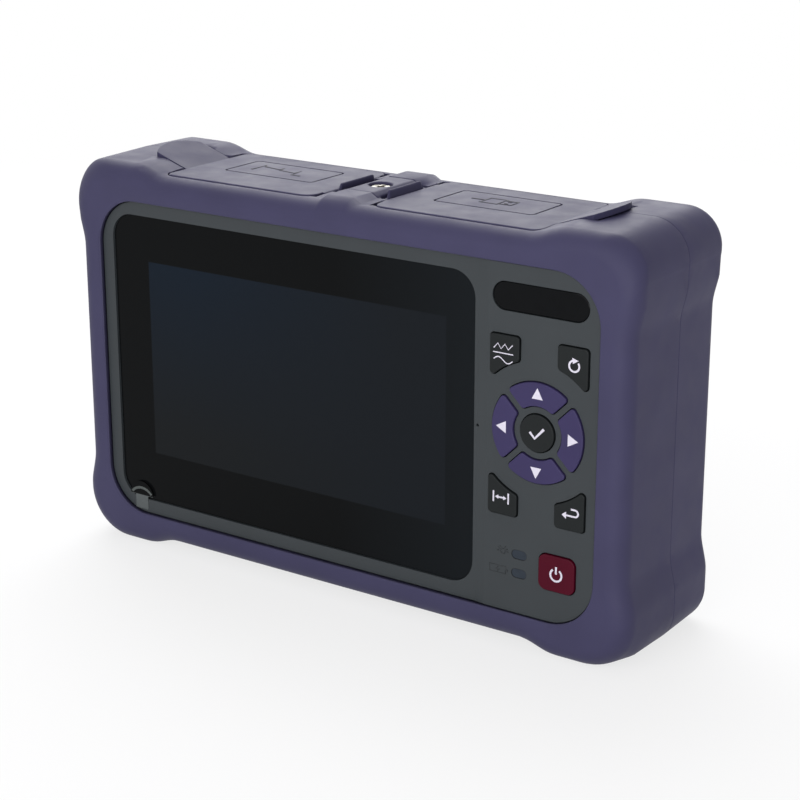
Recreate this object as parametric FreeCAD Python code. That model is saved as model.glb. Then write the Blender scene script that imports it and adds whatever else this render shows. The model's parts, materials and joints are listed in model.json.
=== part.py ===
import FreeCAD, Part
import math
import os

from FreeCAD import Vector

# Handheld optical time domain reflectometer, millimetres.
# +X runs to the right of the screen, +Y from the screen to the back, +Z up.
# The origin is under the middle of the feet, half way through the depth.
# The case is laid out round the display: display, glass, panel, rubber rim.

# --- Display and glass -------------------------------------------------------
ACTIVE_WIDTH = 95.04      # picture area of a 4.3 inch display
ACTIVE_HEIGHT = 53.86
LCD_BORDER_X = 5.23       # display module past its picture area
LCD_BORDER_Z = 6.67
LCD_T = 4.0
LCD_CORNER_R = 1.0
LCD_WINDOW_GAP = 0.3
LCD_FOAM_T = 0.4
LCD_FOAM_GAP = 1.0        # foam's opening past the picture area
GLASS_BORDER_LEFT = 6.4   # glass past the display module
GLASS_BORDER_RIGHT = 3.3
GLASS_BORDER_LOW = 7.25
GLASS_BORDER_TOP = 5.55
GLASS_CORNER_R = 6.5
GLASS_RECESS = 0.6        # glass face behind the panel face
GLASS_T = 1.1
GLASS_GAP = 0.15
GLASS_TAPE_T = 0.2
GLASS_TAPE_GAP = 0.5
BRACKET_T = 0.8
BRACKET_MARGIN = 4.4
BRACKET_RAIL = 6.0        # bracket's window inside the picture area
BRACKET_CORNER_R = 4.0
BRACKET_BOSS_R = 1.9
BRACKET_BOSS_GAP = 0.1    # boss beside the display's window
BRACKET_BOSS_INSET = 9.0
FILM_T = 0.12
FILM_INSET = 6.5          # tab's middle from the glass's left edge
FILM_HEAD_HALF_WIDTH = 4.0
FILM_STALK_HALF_WIDTH = 2.2
FILM_TAB_REACH = 3.2      # stalk length over the panel below the glass
FILM_HEAD_LIFT = 0.7      # head's straight edge above the glass's lower edge

# --- Front panel -------------------------------------------------------------
PANEL_MARGIN_LEFT = 3.7   # panel round the glass
PANEL_MARGIN_LOW = 3.95
PANEL_MARGIN_TOP = 3.75
KEYPAD_ZONE = 34.5        # panel to the right of the glass
PANEL_BORDER_X = 8.5      # rubber rim beside the panel
PANEL_BORDER_Z = 7.85     # rubber rim above and below it
PANEL_CORNER_R = 12.4
PANEL_RECESS = 1.5        # panel face behind the rubber rim
PANEL_GAP = 0.25          # fine groove between panel and rim
RIM_LIP = 0.4             # chamfer on the rim's inner edge
PAD_RISE = 0.45           # the keypad field is proud of the screen's surround
PAD_SETBACK = 1.0         # start of the keypad field, from the glass
PAD_SLOPE = 3.0
MIC_R = 0.4               # small hole beside the glass
MIC_SETBACK = 1.2
MIC_RAISE = 1.35          # above the picture's middle
MIC_DEPTH = 1.2

# --- Housing -----------------------------------------------------------------
BODY_DEPTH = 45.0
FOOT_DROP = 2.0           # lower bumpers stand this far below the underside
FOOT_TRIM = 0.35          # trimmed off the lower bumpers, so that they stand flat
TOP_BUMP = 2.4            # upper bumpers stand this far above the top
SIDE_BUMP = 1.7           # all bumpers stand this far out of the sides
BUMP_LENGTH = 21.2        # bumper's flat top, in from the plain side
BUMP_HEIGHT = 16.0        # length of the bumper's flat down the side
BUMP_SLOPE = 7.0          # length of the slope from bumper to plain wall
BUMP_BLEND_R = 14.0       # rounding where the slope starts and ends
CORNER_R = 14.0
EDGE_R = 5.0              # rounding round the front and the back
DRAFT_INSET = 0.5         # each half narrows by this much towards its face
PARTING_Y = 1.5           # the plane where the two halves meet
PARTING_CHAMFER = 0.2
SKIN = 2.6                # rubber skin over the rigid shell's sides
SKIN_FACE = 2.5           # rubber skin over the rigid shell's faces
SHELL_WALL = 2.0
SHELL_CORNER_R = 12.0
BAND_HALF_WIDTH = 3.8     # flat top of the raised band between the flaps
BAND_SLOPE = 1.6          # sloping side of the band
BAND_RISE = 1.0
BAND_TURN = 6.0           # where the band turns down, in from the face
BAND_FADE = 4.0           # where it runs out, below the plain top
BAND_ROOT = 0.1           # band's sides start this far under the skin

# --- Keypad ------------------------------------------------------------------
PAD_INSET = 16.15         # middle of the arrow keys, from the panel's right edge
PAD_RAISE = 3.7           # middle of the arrow keys above the panel's middle
KEY_RISE = 0.6            # caps above the keypad field
KEY_TRAVEL = 0.8
KEY_GAP = 0.25
KEY_FLANGE = 0.7
KEY_FLANGE_T = 0.8
KEY_EDGE_R = 0.3
KEY_CORNER_R = 0.9
KEY_DOME_CLEAR = 0.2      # left between a pressed key and its snap dome
OK_R = 4.7
ARROW_INNER_R = 6.7
ARROW_OUTER_R = 12.6
ARROW_RIB = 1.9           # panel rib between two arrow keys
CORNER_KEY_IN = 5.25      # near side of a corner key, from the pad's centre
CORNER_KEY_OUT = 13.4     # far side of a corner key
CORNER_KEY_TOP = 22.8
CORNER_KEY_BOTTOM = 22.5
CORNER_KEY_ARC_R = 17.6   # arc round the arrow keys that trims the corner keys
POWER_KEY_OFFSET = 6.25   # to the right of the pad's centre
POWER_KEY_RAISE = 12.95   # above the panel's lower edge
POWER_KEY_WIDTH = 10.0
POWER_KEY_HEIGHT = 9.2
POWER_KEY_R = 2.0
KEYBOARD_T = 1.2
KEYBOARD_SIDE_GAP = 3.0
KEYBOARD_LOW_GAP = 5.8    # above the cavity's floor
KEYBOARD_TOP_GAP = 12.3   # below the cavity's roof
KEYBOARD_GLASS_GAP = 2.3  # beside the glass
KEYBOARD_CORNER_R = 2.0
KEYBOARD_BOSS_R = 2.0
BOSS_OUTSET = 2.0         # right-hand bosses past the corner keys
BOSS_ABOVE = 4.6
BOSS_BELOW = 3.9
MAT_T = 0.5
MAT_GAP = 0.4
DOME_R = 2.0
DOME_TOP_R = 1.1
DOME_HEIGHT = 0.8
BADGE_DROP = 7.95         # below the panel's upper edge
BADGE_WIDTH = 26.2
BADGE_HEIGHT = 7.0
BADGE_T = 0.8
BADGE_SINK = 0.15         # badge face below the keypad field
LED_OFFSET = 4.5          # to the left of the pad's centre
LED_RAISES = (2.4, -2.5)  # above the middle of the power key
LED_WIDTH = 4.2
LED_HEIGHT = 2.3
LED_SINK = 0.15
LED_GAP = 0.1

# --- Port wells and flaps ----------------------------------------------------
WELL_NEAR_X = 15.0
WELL_END_GAP = 4.2        # flap's end past the well
WELL_MIDDLE_Y = 2.0
WELL_DEPTH_Y = 20.0
WELL_CORNER_R = 2.4
WELL_WALL = 1.6
WELL_FLOOR_T = 1.5
WELL_FIT = 0.1
WELL_LIP = 2.0
WELL_LIP_T = 1.5
OPTICAL_WELL_DEPTH = 12.8
USB_WELL_DEPTH = 6.3
FLAP_EDGE_MARGIN = 5.2    # flap's long edges, in from the front and the back
FLAP_T = 2.4
FLAP_LIFT = 0.1           # flap's underside above the shell
FLAP_GAP = 0.3            # round the flap in the skin
FLAP_CORNER_R = 2.5
FLAP_NEAR_R = 3.5         # corners at the hinge end
FLAP_WINDOW_R = 5.0       # the skin's corners round them
FLAP_END_GAP = 0.2        # flap's end past the foot of the bumper's slope
FLAP_PLUG_GAP = 0.35
FLAP_PLUG_WALL = 1.4
FLAP_PLUG_DEPTH = 2.0
FLAP_EDGE_R = 0.4
HINGE_X = 9.3
BEAD_R = 0.9
HINGE_CLEAR = 0.06
FOOT_SETBACK = 0.15       # cradle foot ends this far inside the hinge axis
TONGUE_HALF_Y = 9.0
TONGUE_REACH = 6.0        # past the start of the bumper's flat top
TONGUE_END_R = 15.0       # rounding of the tongue's outer end, seen from above
TONGUE_T = 1.5
TONGUE_ROOT = 1.0         # tongue's start inside the flap
TONGUE_CLEAR = 0.25       # pocket in the skin round the tongue
SIGN_FRAME_WIDTH = 29.3   # engraved frame on each flap
SIGN_FRAME_DEPTH = 15.2
SIGN_FRAME_Y = 3.0
SIGN_FRAME_R = 1.5
SIGN_LINE = 0.5
SIGN_SINK = 0.5
RETAINER_HALF_Y = 9.5
RIDGE_HALF_Y = 7.8
RIDGE_RISE = 1.7          # above the plain top
RIDGE_TOP_WIDTH = 0.7
RIDGE_SLOPE = 0.5         # outer side leans in by this much
RIDGE_END_SLOPE = 0.8     # so do its ends
RIDGE_EDGE_R = 0.2
RIDGE_CLEAR = 0.2         # ridge to the hinge bead
TRENCH_FLOOR_T = 0.8      # retainer left under the trench beside each ridge
SCREW_WELL_R = 3.1
SCREW_WELL_DEPTH = 2.2
RETAINER_BOSS_R = 3.4
INSERT_R = 2.0
INSERT_LENGTH = 5.0
RETAINER_SCREW_R = 1.2
RETAINER_SCREW_LENGTH = 5.5
RETAINER_HEAD_R = 2.75
RETAINER_HEAD_T = 1.6

# --- Connectors --------------------------------------------------------------
PORT_PITCH = 19.0
PORT_FLANGE = 12.0
PORT_FLANGE_R = 1.0
PORT_FLANGE_T = 1.6
PORT_BARREL_R = 4.2
PORT_BARREL_LENGTH = 7.8  # above the well's floor
PORT_TAIL_R = 3.4
PORT_TAIL_LENGTH = 8.0
PORT_TAIL_FLOOR = 2.0     # metal left under the bore
FERRULE_BORE_R = 1.25
SLEEVE_R = 2.1
SOCKET_RING_R = 3.1
SLEEVE_SETBACK = 0.6
KEY_WAY_HALF_WIDTH = 1.05
KEY_WAY_DEPTH = 2.4
KEY_WAY_GAP = 0.4         # key way to the sleeve
PORT_SCREW_EDGE = 1.6
PORT_SCREW_HEAD_R = 1.4
PORT_SCREW_HEAD_T = 0.9
PORT_SCREW_LENGTH = 3.0
USB_A_INSET = 12.0        # from the well's near end
USB_A_WIDTH = 13.1
USB_A_DEPTH = 5.7
USB_A_CONTACT_T = 1.84
USB_A_CONTACT_OFFSET = 1.0
MICRO_USB_INSET = 10.0    # from the well's far end
MICRO_USB_WIDTH = 8.0
MICRO_USB_DEPTH = 3.0
MICRO_USB_CONTACT_T = 0.6
MICRO_USB_CONTACT_OFFSET = 0.4
SOCKET_METAL = 0.35
SOCKET_PROUD = 0.6
SOCKET_BACK = 2.0
CONTACT_SIDE_GAP = 1.0    # contact tongue inside the socket's width
CONTACT_SETBACK = 0.8     # contact tongue below the socket's mouth
PORT_BOARD_T = 1.6
PORT_BOARD_DROP = 9.0     # below the well's floor
PORT_BOARD_EDGE = 0.8     # board past its screw heads
PORT_BOARD_R = 1.5
PORT_BOARD_SCREW_LENGTH = 5.0
STANDOFF_R = 2.0

# --- Inside ------------------------------------------------------------------
MAIN_BOARD_CLEAR = 1.3    # behind the screws that hold the display
MAIN_BOARD_T = 1.6
MAIN_BOARD_DROP = 3.0     # top edge below the port wells
BOARD_EDGE_GAP = 0.6
BOARD_POST_GAP = 0.2
LEDGE_Z = 70.0
LEDGE_HEIGHT = 8.0
LEDGE_DEPTH_X = 4.5
LEDGE_GAP = 0.4
PILOT_EXTRA = 0.5         # pilot holes past the screws' tips
ENGINE_SIDE_GAP = 8.6     # from the cavity's left wall
ENGINE_WIDTH = 36.0
ENGINE_LOW_Z = 26.0
ENGINE_HEIGHT = 50.0
ENGINE_T = 9.5
ENGINE_R = 2.0
ENGINE_SLOTS = 4          # slots in the lid between its cooling ribs
ENGINE_SLOT_PITCH = 7.0
ENGINE_SLOT_WIDTH = 2.0
ENGINE_SLOT_DEPTH = 1.0
ENGINE_SLOT_END = 6.0
SHIELD_MIDDLE_X = 16.0
SHIELD_LOW_Z = 38.0
SHIELD_SIZE = 36.0
SHIELD_T = 4.0
SHIELD_R = 1.0
BUZZER_X = 58.0
BUZZER_Z = 26.0
BUZZER_R = 6.0
BUZZER_T = 4.5
BUZZER_HOLE_R = 1.0
BATTERY_HALF_X = 30.0
BATTERY_LOW_Z = 27.5
BATTERY_HEIGHT = 42.0
BATTERY_T = 15.0
BATTERY_R = 1.0
BATTERY_GAP = 0.4
BATTERY_WALL = 1.6
POST_INSET = 6.5          # screw posts, in from the shell's outside
POST_R = 3.2
POST_NECK_R = 2.6         # above the main board
POST_GAP = 0.5
REAR_POST_R = 4.0

# --- Back --------------------------------------------------------------------
BACK_RECESS = 0.8         # grey field behind the rubber rim
DOOR_T = 2.0
DOOR_SIDE_LAP = 2.6       # door past the battery opening, left and right
DOOR_END_LAP = 4.2        # door past the battery opening, top and bottom
DOOR_GAP = 0.2
DOOR_R = 3.0
DOOR_SCREW_X = 24.0
DOOR_SCREW_LENGTH = 5.0
DOOR_BOSS_R = 2.2
DOOR_BOSS_LENGTH = 5.0
DOOR_BOSS_FLOOR = 0.8
STAND_HALF_X = 46.0
STAND_ARM = 9.0
STAND_BAR = 9.0
STAND_RAISE = 2.75        # stand's lower edge above the panel's lower edge
STAND_PIVOT_Z = 80.0
STAND_T = 3.2
STAND_CHAMFER = 0.6
STAND_GAP = 0.4
STAND_FLOOR_GAP = 0.2
STAND_BACKING = 1.6
STAND_CORNER_R = 5.0
TRUNNION_R = 1.2
TRUNNION_LENGTH = 2.4
TRUNNION_FIT = 0.08
SCOOP_HALF_X = 9.0
SCOOP_DEPTH = 2.2

# --- Fasteners and seal ------------------------------------------------------
CASE_SCREW_R = 1.45
CASE_HEAD_R = 2.75
CASE_HEAD_T = 2.0
CASE_HEAD_DEPTH = 5.5     # head's seat below the back
CASE_SCREW_BITE = 8.5     # length in the front post
CASE_PILOT_EXTRA = 2.0
SMALL_SCREW_R = 0.95
SMALL_HEAD_R = 1.8
SMALL_HEAD_T = 1.2
PANEL_SCREW_LENGTH = 3.0  # into the front shell's small bosses
BOARD_SCREW_LENGTH = 5.0
BOSS_FLOOR = 0.4          # panel left under a small boss's pilot hole
HEAD_ROUNDING = 0.3       # share of a head's height
SLOT_DEPTH = 0.55         # share of a head's height
SLOT_REACH = 0.62         # share of a head's radius
SLOT_HALF_WIDTH = 0.2     # share of a head's radius
SCREW_FIT = 0.05
HEAD_FIT = 0.25
SEAL_WIDTH = 1.0
SEAL_HEIGHT = 1.2

# --- Derived places ----------------------------------------------------------
LCD_WIDTH = ACTIVE_WIDTH + 2 * LCD_BORDER_X
LCD_HEIGHT = ACTIVE_HEIGHT + 2 * LCD_BORDER_Z
GLASS_WIDTH = GLASS_BORDER_LEFT + LCD_WIDTH + GLASS_BORDER_RIGHT
GLASS_HEIGHT = GLASS_BORDER_LOW + LCD_HEIGHT + GLASS_BORDER_TOP
PANEL_HALF_WIDTH = (PANEL_MARGIN_LEFT + GLASS_WIDTH + KEYPAD_ZONE) / 2
PANEL_HEIGHT = PANEL_MARGIN_LOW + GLASS_HEIGHT + PANEL_MARGIN_TOP
HALF_WIDTH = PANEL_HALF_WIDTH + PANEL_BORDER_X
BODY_WIDTH = 2 * HALF_WIDTH
BODY_LOW_Z = FOOT_DROP
PANEL_LOW_Z = BODY_LOW_Z + PANEL_BORDER_Z
PANEL_TOP_Z = PANEL_LOW_Z + PANEL_HEIGHT
BODY_TOP_Z = PANEL_TOP_Z + PANEL_BORDER_Z
BUMP_TOP_Z = BODY_TOP_Z + TOP_BUMP
BUMP_INNER_X = HALF_WIDTH - BUMP_LENGTH
BUMP_FOOT_X = BUMP_INNER_X - BUMP_SLOPE
GLASS_LEFT_X = PANEL_MARGIN_LEFT - PANEL_HALF_WIDTH
GLASS_RIGHT_X = GLASS_LEFT_X + GLASS_WIDTH
GLASS_LOW_Z = PANEL_LOW_Z + PANEL_MARGIN_LOW
GLASS_TOP_Z = GLASS_LOW_Z + GLASS_HEIGHT
ACTIVE_CENTRE_X = GLASS_LEFT_X + GLASS_BORDER_LEFT + LCD_WIDTH / 2
ACTIVE_CENTRE_Z = GLASS_LOW_Z + GLASS_BORDER_LOW + LCD_HEIGHT / 2
FILM_TAB_X = GLASS_LEFT_X + FILM_INSET
PAD_START_X = GLASS_RIGHT_X + PAD_SETBACK
PAD_CENTRE_X = PANEL_HALF_WIDTH - PAD_INSET
PAD_CENTRE_Z = (PANEL_LOW_Z + PANEL_TOP_Z) / 2 + PAD_RAISE
POWER_KEY_X = PAD_CENTRE_X + POWER_KEY_OFFSET
POWER_KEY_Z = PANEL_LOW_Z + POWER_KEY_RAISE
BADGE_Z = PANEL_TOP_Z - BADGE_DROP
LED_X = PAD_CENTRE_X - LED_OFFSET
LED_ZS = [POWER_KEY_Z + rise for rise in LED_RAISES]
SHELL_HALF_X = HALF_WIDTH - SKIN
SHELL_LOW_Z = BODY_LOW_Z + SKIN
SHELL_TOP_Z = BODY_TOP_Z - SKIN
FRONT_Y = -BODY_DEPTH / 2
BACK_Y = BODY_DEPTH / 2
SHELL_FRONT_Y = FRONT_Y + SKIN_FACE
SHELL_BACK_Y = BACK_Y - SKIN_FACE
CAVITY_FRONT_Y = SHELL_FRONT_Y + SHELL_WALL
CAVITY_BACK_Y = SHELL_BACK_Y - SHELL_WALL
CAVITY_HALF_X = SHELL_HALF_X - SHELL_WALL
CAVITY_LOW_Z = SHELL_LOW_Z + SHELL_WALL
CAVITY_TOP_Z = SHELL_TOP_Z - SHELL_WALL
PANEL_Y = FRONT_Y + PANEL_RECESS
PAD_Y = PANEL_Y - PAD_RISE
BACK_FIELD_Y = BACK_Y - BACK_RECESS
GLASS_Y = PANEL_Y + GLASS_RECESS
GLASS_BACK_Y = GLASS_Y + GLASS_T
LCD_Y = GLASS_BACK_Y + LCD_FOAM_T
LCD_BACK_Y = LCD_Y + LCD_T
BRACKET_BACK_Y = LCD_BACK_Y + BRACKET_T
KEY_FACE_Y = PAD_Y - KEY_RISE
FLANGE_BACK_Y = CAVITY_FRONT_Y + KEY_FLANGE_T
DOME_TOP_Y = FLANGE_BACK_Y + KEY_TRAVEL + KEY_DOME_CLEAR
KEYBOARD_Y = DOME_TOP_Y + DOME_HEIGHT
KEYBOARD_BACK_Y = KEYBOARD_Y + KEYBOARD_T
MAIN_BOARD_FRONT_Y = max(BRACKET_BACK_Y, KEYBOARD_BACK_Y) + SMALL_HEAD_T + MAIN_BOARD_CLEAR
MAIN_BOARD_BACK_Y = MAIN_BOARD_FRONT_Y + MAIN_BOARD_T
FLAP_HALF_Y = BODY_DEPTH / 2 - FLAP_EDGE_MARGIN
FLAP_LOW_Z = SHELL_TOP_Z + FLAP_LIFT
FLAP_TOP_Z = FLAP_LOW_Z + FLAP_T
FLAP_END_X = BUMP_FOOT_X + FLAP_END_GAP
HINGE_Z = FLAP_TOP_Z - BEAD_R
FLAP_NEAR_X = HINGE_X - BEAD_R
WELL_FAR_X = FLAP_END_X - WELL_END_GAP
WELL_MIDDLE_X = (WELL_NEAR_X + WELL_FAR_X) / 2
TONGUE_END_X = BUMP_INNER_X + TONGUE_REACH
SIGN_FRAME_X = (HINGE_X + FLAP_END_X) / 2
RIDGE_FOOT_X = HINGE_X - BEAD_R - RIDGE_CLEAR
RIDGE_INNER_X = RIDGE_FOOT_X - RIDGE_SLOPE - RIDGE_TOP_WIDTH
BAND_Z = BODY_TOP_Z + BAND_RISE
BAND_FOOT_X = BAND_HALF_WIDTH + BAND_SLOPE
WELL_FRONT_Y = WELL_MIDDLE_Y - WELL_DEPTH_Y / 2
WELL_BACK_Y = WELL_MIDDLE_Y + WELL_DEPTH_Y / 2
OPTICAL_PORT_XS = [-WELL_MIDDLE_X - PORT_PITCH / 2, -WELL_MIDDLE_X + PORT_PITCH / 2]
OPTICAL_FLOOR_Z = SHELL_TOP_Z - OPTICAL_WELL_DEPTH
PORT_BARREL_TOP = OPTICAL_FLOOR_Z + PORT_BARREL_LENGTH
USB_A_X = WELL_NEAR_X + USB_A_INSET
MICRO_USB_X = WELL_FAR_X - MICRO_USB_INSET
MAIN_BOARD_TOP_Z = OPTICAL_FLOOR_Z - WELL_FLOOR_T - MAIN_BOARD_DROP
USB_FLOOR_Z = SHELL_TOP_Z - USB_WELL_DEPTH
PORT_BOARD_Z = USB_FLOOR_Z - WELL_FLOOR_T - PORT_BOARD_DROP
POST_X = SHELL_HALF_X - POST_INSET
POST_LOW_Z = SHELL_LOW_Z + POST_INSET
POST_TOP_Z = SHELL_TOP_Z - POST_INSET
ENGINE_LEFT_X = ENGINE_SIDE_GAP - CAVITY_HALF_X
BATTERY_TOP_Z = BATTERY_LOW_Z + BATTERY_HEIGHT
DOOR_SEAT_Y = BACK_FIELD_Y - DOOR_T
BATTERY_BACK_Y = DOOR_SEAT_Y - DOOR_GAP
STAND_LOW_Z = PANEL_LOW_Z + STAND_RAISE
STAND_FRONT_Y = BACK_FIELD_Y - STAND_T
STAND_AXIS_Y = BACK_FIELD_Y - STAND_T / 2
SCREW_SEAT_Z = BAND_Z - SCREW_WELL_DEPTH
CASE_HEAD_SEAT_Y = BACK_Y - CASE_HEAD_DEPTH
CASE_SCREW_LENGTH = CASE_HEAD_SEAT_Y - PARTING_Y + CASE_SCREW_BITE


# --- Shape helpers -----------------------------------------------------------
def box(x0, x1, y0, y1, z0, z1):
    return Part.makeBox(x1 - x0, y1 - y0, z1 - z0, Vector(x0, y0, z0))


def rod_z(x, y, radius, z0, z1):
    return Part.makeCylinder(radius, z1 - z0, Vector(x, y, z0))


def rod_y(x, z, radius, y0, y1):
    rod = Part.makeCylinder(radius, y1 - y0)
    rod.rotate(Vector(0, 0, 0), Vector(1, 0, 0), -90)
    rod.translate(Vector(x, y0, z))
    return rod


def rod_x(y, z, radius, x0, x1):
    return Part.makeCylinder(radius, x1 - x0, Vector(x0, y, z), Vector(1, 0, 0))


def offset_corners(corners, radii, inset):
    """Move a counter-clockwise outline inwards, keeping its rounding parallel."""
    count = len(corners)
    lines = []
    for i in range(count):
        (u0, v0), (u1, v1) = corners[i], corners[(i + 1) % count]
        length = math.hypot(u1 - u0, v1 - v0)
        du, dv = (u1 - u0) / length, (v1 - v0) / length
        lines.append((u0 - dv * inset, v0 + du * inset, du, dv))
    moved, rounding = [], []
    for i in range(count):
        ua, va, dua, dva = lines[i - 1]
        ub, vb, dub, dvb = lines[i]
        turn = dua * dvb - dva * dub
        along = ((ub - ua) * dvb - (vb - va) * dub) / turn
        moved.append((ua + dua * along, va + dva * along))
        rounding.append(radii[i] - inset if turn > 0 else radii[i] + inset)
    return moved, rounding


def rounded_wire(corners, radii, place):
    """Closed wire of lines and tangent arcs; place turns (u, v) into a point."""
    count = len(corners)
    starts, middles, ends = [], [], []
    for i in range(count):
        pu, pv = corners[i - 1]
        cu, cv = corners[i]
        nu, nv = corners[(i + 1) % count]
        before = math.hypot(pu - cu, pv - cv)
        after = math.hypot(nu - cu, nv - cv)
        au, av = (pu - cu) / before, (pv - cv) / before
        bu, bv = (nu - cu) / after, (nv - cv) / after
        half = math.acos(max(-1.0, min(1.0, au * bu + av * bv))) / 2
        reach = radii[i] / math.tan(half)
        mu, mv = au + bu, av + bv
        size = math.hypot(mu, mv)
        to_middle = radii[i] / math.sin(half) - radii[i]
        starts.append(place(cu + au * reach, cv + av * reach))
        middles.append(place(cu + mu / size * to_middle, cv + mv / size * to_middle))
        ends.append(place(cu + bu * reach, cv + bv * reach))
    edges = []
    for i in range(count):
        edges.append(Part.Arc(starts[i], middles[i], ends[i]).toShape())
        following = starts[(i + 1) % count]
        if (following - ends[i]).Length > 1e-6:
            edges.append(Part.LineSegment(ends[i], following).toShape())
    return Part.Wire(edges)


def rectangle(u0, u1, v0, v1):
    return [(u0, v0), (u1, v0), (u1, v1), (u0, v1)]


def plate_y(x0, x1, z0, z1, radius, y0, y1):
    """Rounded rectangle seen from the front, extruded from y0 to y1."""
    wire = rounded_wire(rectangle(x0, x1, z0, z1), [radius] * 4, lambda u, v: Vector(u, y0, v))
    return Part.Face(wire).extrude(Vector(0, y1 - y0, 0))


def plate_z(x0, x1, y0, y1, radius, z0, z1):
    """Rounded rectangle seen from above, extruded from z0 to z1."""
    wire = rounded_wire(rectangle(x0, x1, y0, y1), [radius] * 4, lambda u, v: Vector(u, v, z0))
    return Part.Face(wire).extrude(Vector(0, 0, z1 - z0))


def prism_y(points, y0, y1):
    path = [Vector(x, y0, z) for x, z in points]
    return Part.Face(Part.makePolygon(path + path[:1])).extrude(Vector(0, y1 - y0, 0))


def prism_x(points, x0, x1):
    path = [Vector(x0, y, z) for y, z in points]
    return Part.Face(Part.makePolygon(path + path[:1])).extrude(Vector(x1 - x0, 0, 0))


def prism_z(points, z0, z1):
    path = [Vector(x, y, z0) for x, y in points]
    return Part.Face(Part.makePolygon(path + path[:1])).extrude(Vector(0, 0, z1 - z0))


def ring_y(outer, inner, y0, y1):
    """Flat frame between two rounded rectangles given as (x0, x1, z0, z1, radius)."""
    return plate_y(*outer, y0, y1).cut(plate_y(*inner, y0, y1))


def grown(rect, amount):
    x0, x1, v0, v1, radius = rect
    return x0 - amount, x1 + amount, v0 - amount, v1 + amount, radius + amount


def mirrored(shape):
    return shape.mirror(Vector(0, 0, 0), Vector(1, 0, 0))


def edges_where(shape, test):
    return [edge for edge in shape.Edges if test(edge)]


def lies_in_y(edge, y):
    return all(abs(vertex.Y - y) < 1e-4 for vertex in edge.Vertexes)


def lies_in_z(edge, z):
    return all(abs(vertex.Z - z) < 1e-4 for vertex in edge.Vertexes)


def runs_along_y(edge):
    ends = edge.Vertexes
    if len(ends) != 2 or edge.Curve.TypeId != "Part::GeomLine":
        return False
    return abs(ends[0].X - ends[1].X) < 1e-4 and abs(ends[0].Z - ends[1].Z) < 1e-4


# --- Screws ------------------------------------------------------------------
def cross_slot(radius, depth, top):
    arm = radius * SLOT_REACH
    blade = radius * SLOT_HALF_WIDTH
    return box(-arm, arm, -blade, blade, top - depth, top).fuse(
        box(-blade, blade, -arm, arm, top - depth, top))


def screw_up(shank_r, length, head_r, head_t):
    """Screw with its seat at z = 0 and its head above, with a cross recess."""
    head = rod_z(0, 0, head_r, 0, head_t)
    head = head.makeFillet(head_t * HEAD_ROUNDING, edges_where(head, lambda e: lies_in_z(e, head_t)))
    head = head.cut(cross_slot(head_r, head_t * SLOT_DEPTH, head_t))
    return head.fuse(rod_z(0, 0, shank_r, -length, 0)).removeSplitter()


def screw_back(x, z, seat_y, shank_r, length, head_r, head_t):
    """Screw driven from the back: its head stands towards +Y."""
    screw = screw_up(shank_r, length, head_r, head_t)
    screw.rotate(Vector(0, 0, 0), Vector(1, 0, 0), -90)
    screw.translate(Vector(x, seat_y, z))
    return screw


# --- Outer form --------------------------------------------------------------
def skin_outline():
    """Corners and rounding of the outer outline: plain walls with four corner bumpers."""
    side = HALF_WIDTH + SIDE_BUMP
    upper = [(HALF_WIDTH, BUMP_TOP_Z - BUMP_HEIGHT - BUMP_SLOPE), (side, BUMP_TOP_Z - BUMP_HEIGHT),
             (side, BUMP_TOP_Z), (BUMP_INNER_X, BUMP_TOP_Z), (BUMP_FOOT_X, BODY_TOP_Z)]
    lower = [(BUMP_FOOT_X, BODY_LOW_Z), (BUMP_INNER_X, -FOOT_TRIM), (side, -FOOT_TRIM),
             (side, BUMP_HEIGHT), (HALF_WIDTH, BUMP_HEIGHT + BUMP_SLOPE)]
    right = lower + upper
    left = [(-x, z) for x, z in reversed(right)]
    radii = [BUMP_BLEND_R, BUMP_BLEND_R, CORNER_R, BUMP_BLEND_R, BUMP_BLEND_R] * 4
    return right + left, radii


def skin_wire(inset, y):
    corners, radii = offset_corners(*skin_outline(), inset)
    return rounded_wire(corners, radii, lambda u, v: Vector(u, y, v))


def skin_prism(inset, y0, y1):
    return Part.Face(skin_wire(inset, y0)).extrude(Vector(0, y1 - y0, 0))


def skin_half(face_y):
    """Half of the outer form, drafted from the parting plane and rounded at its face."""
    sections = sorted([(PARTING_Y, 0.0), (face_y, DRAFT_INSET)], reverse=True)
    loft = Part.makeLoft([skin_wire(inset, y) for y, inset in sections], True, True)
    rounded = loft.makeFillet(EDGE_R, edges_where(loft, lambda e: lies_in_y(e, face_y)))
    seam = edges_where(rounded, lambda e: lies_in_y(e, PARTING_Y))
    rounded = rounded.makeChamfer(PARTING_CHAMFER, seam)
    return rounded.cut(box(-BODY_WIDTH, BODY_WIDTH, FRONT_Y, BACK_Y, -FOOT_DROP, 0))


def band_section(x, rise, face_y, outward):
    """Side view of the band at x: flat on top, then an arc that runs into the skin's edge."""
    top_z, end_z = BODY_TOP_Z + rise, BODY_TOP_Z - BAND_FADE
    height = end_z - (BODY_TOP_Z - DRAFT_INSET - EDGE_R)
    end_in = EDGE_R - math.sqrt((EDGE_R - BAND_ROOT) ** 2 - height ** 2)
    reach, drop = BAND_TURN - end_in, top_z - end_z
    radius = (reach ** 2 + drop ** 2) / (2 * drop)
    half_turn = math.atan2(reach, radius - drop) / 2
    start_y = face_y - outward * BAND_TURN
    start = Vector(x, start_y, top_z)
    middle = Vector(x, start_y + outward * radius * math.sin(half_turn),
                    top_z - radius * (1 - math.cos(half_turn)))
    end = Vector(x, face_y - outward * end_in, end_z)
    low, high = Vector(x, PARTING_Y, end_z), Vector(x, PARTING_Y, top_z)
    return Part.Wire([Part.Arc(start, middle, end).toShape(), Part.makeLine(end, low),
                      Part.makeLine(low, high), Part.makeLine(high, start)])


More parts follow.
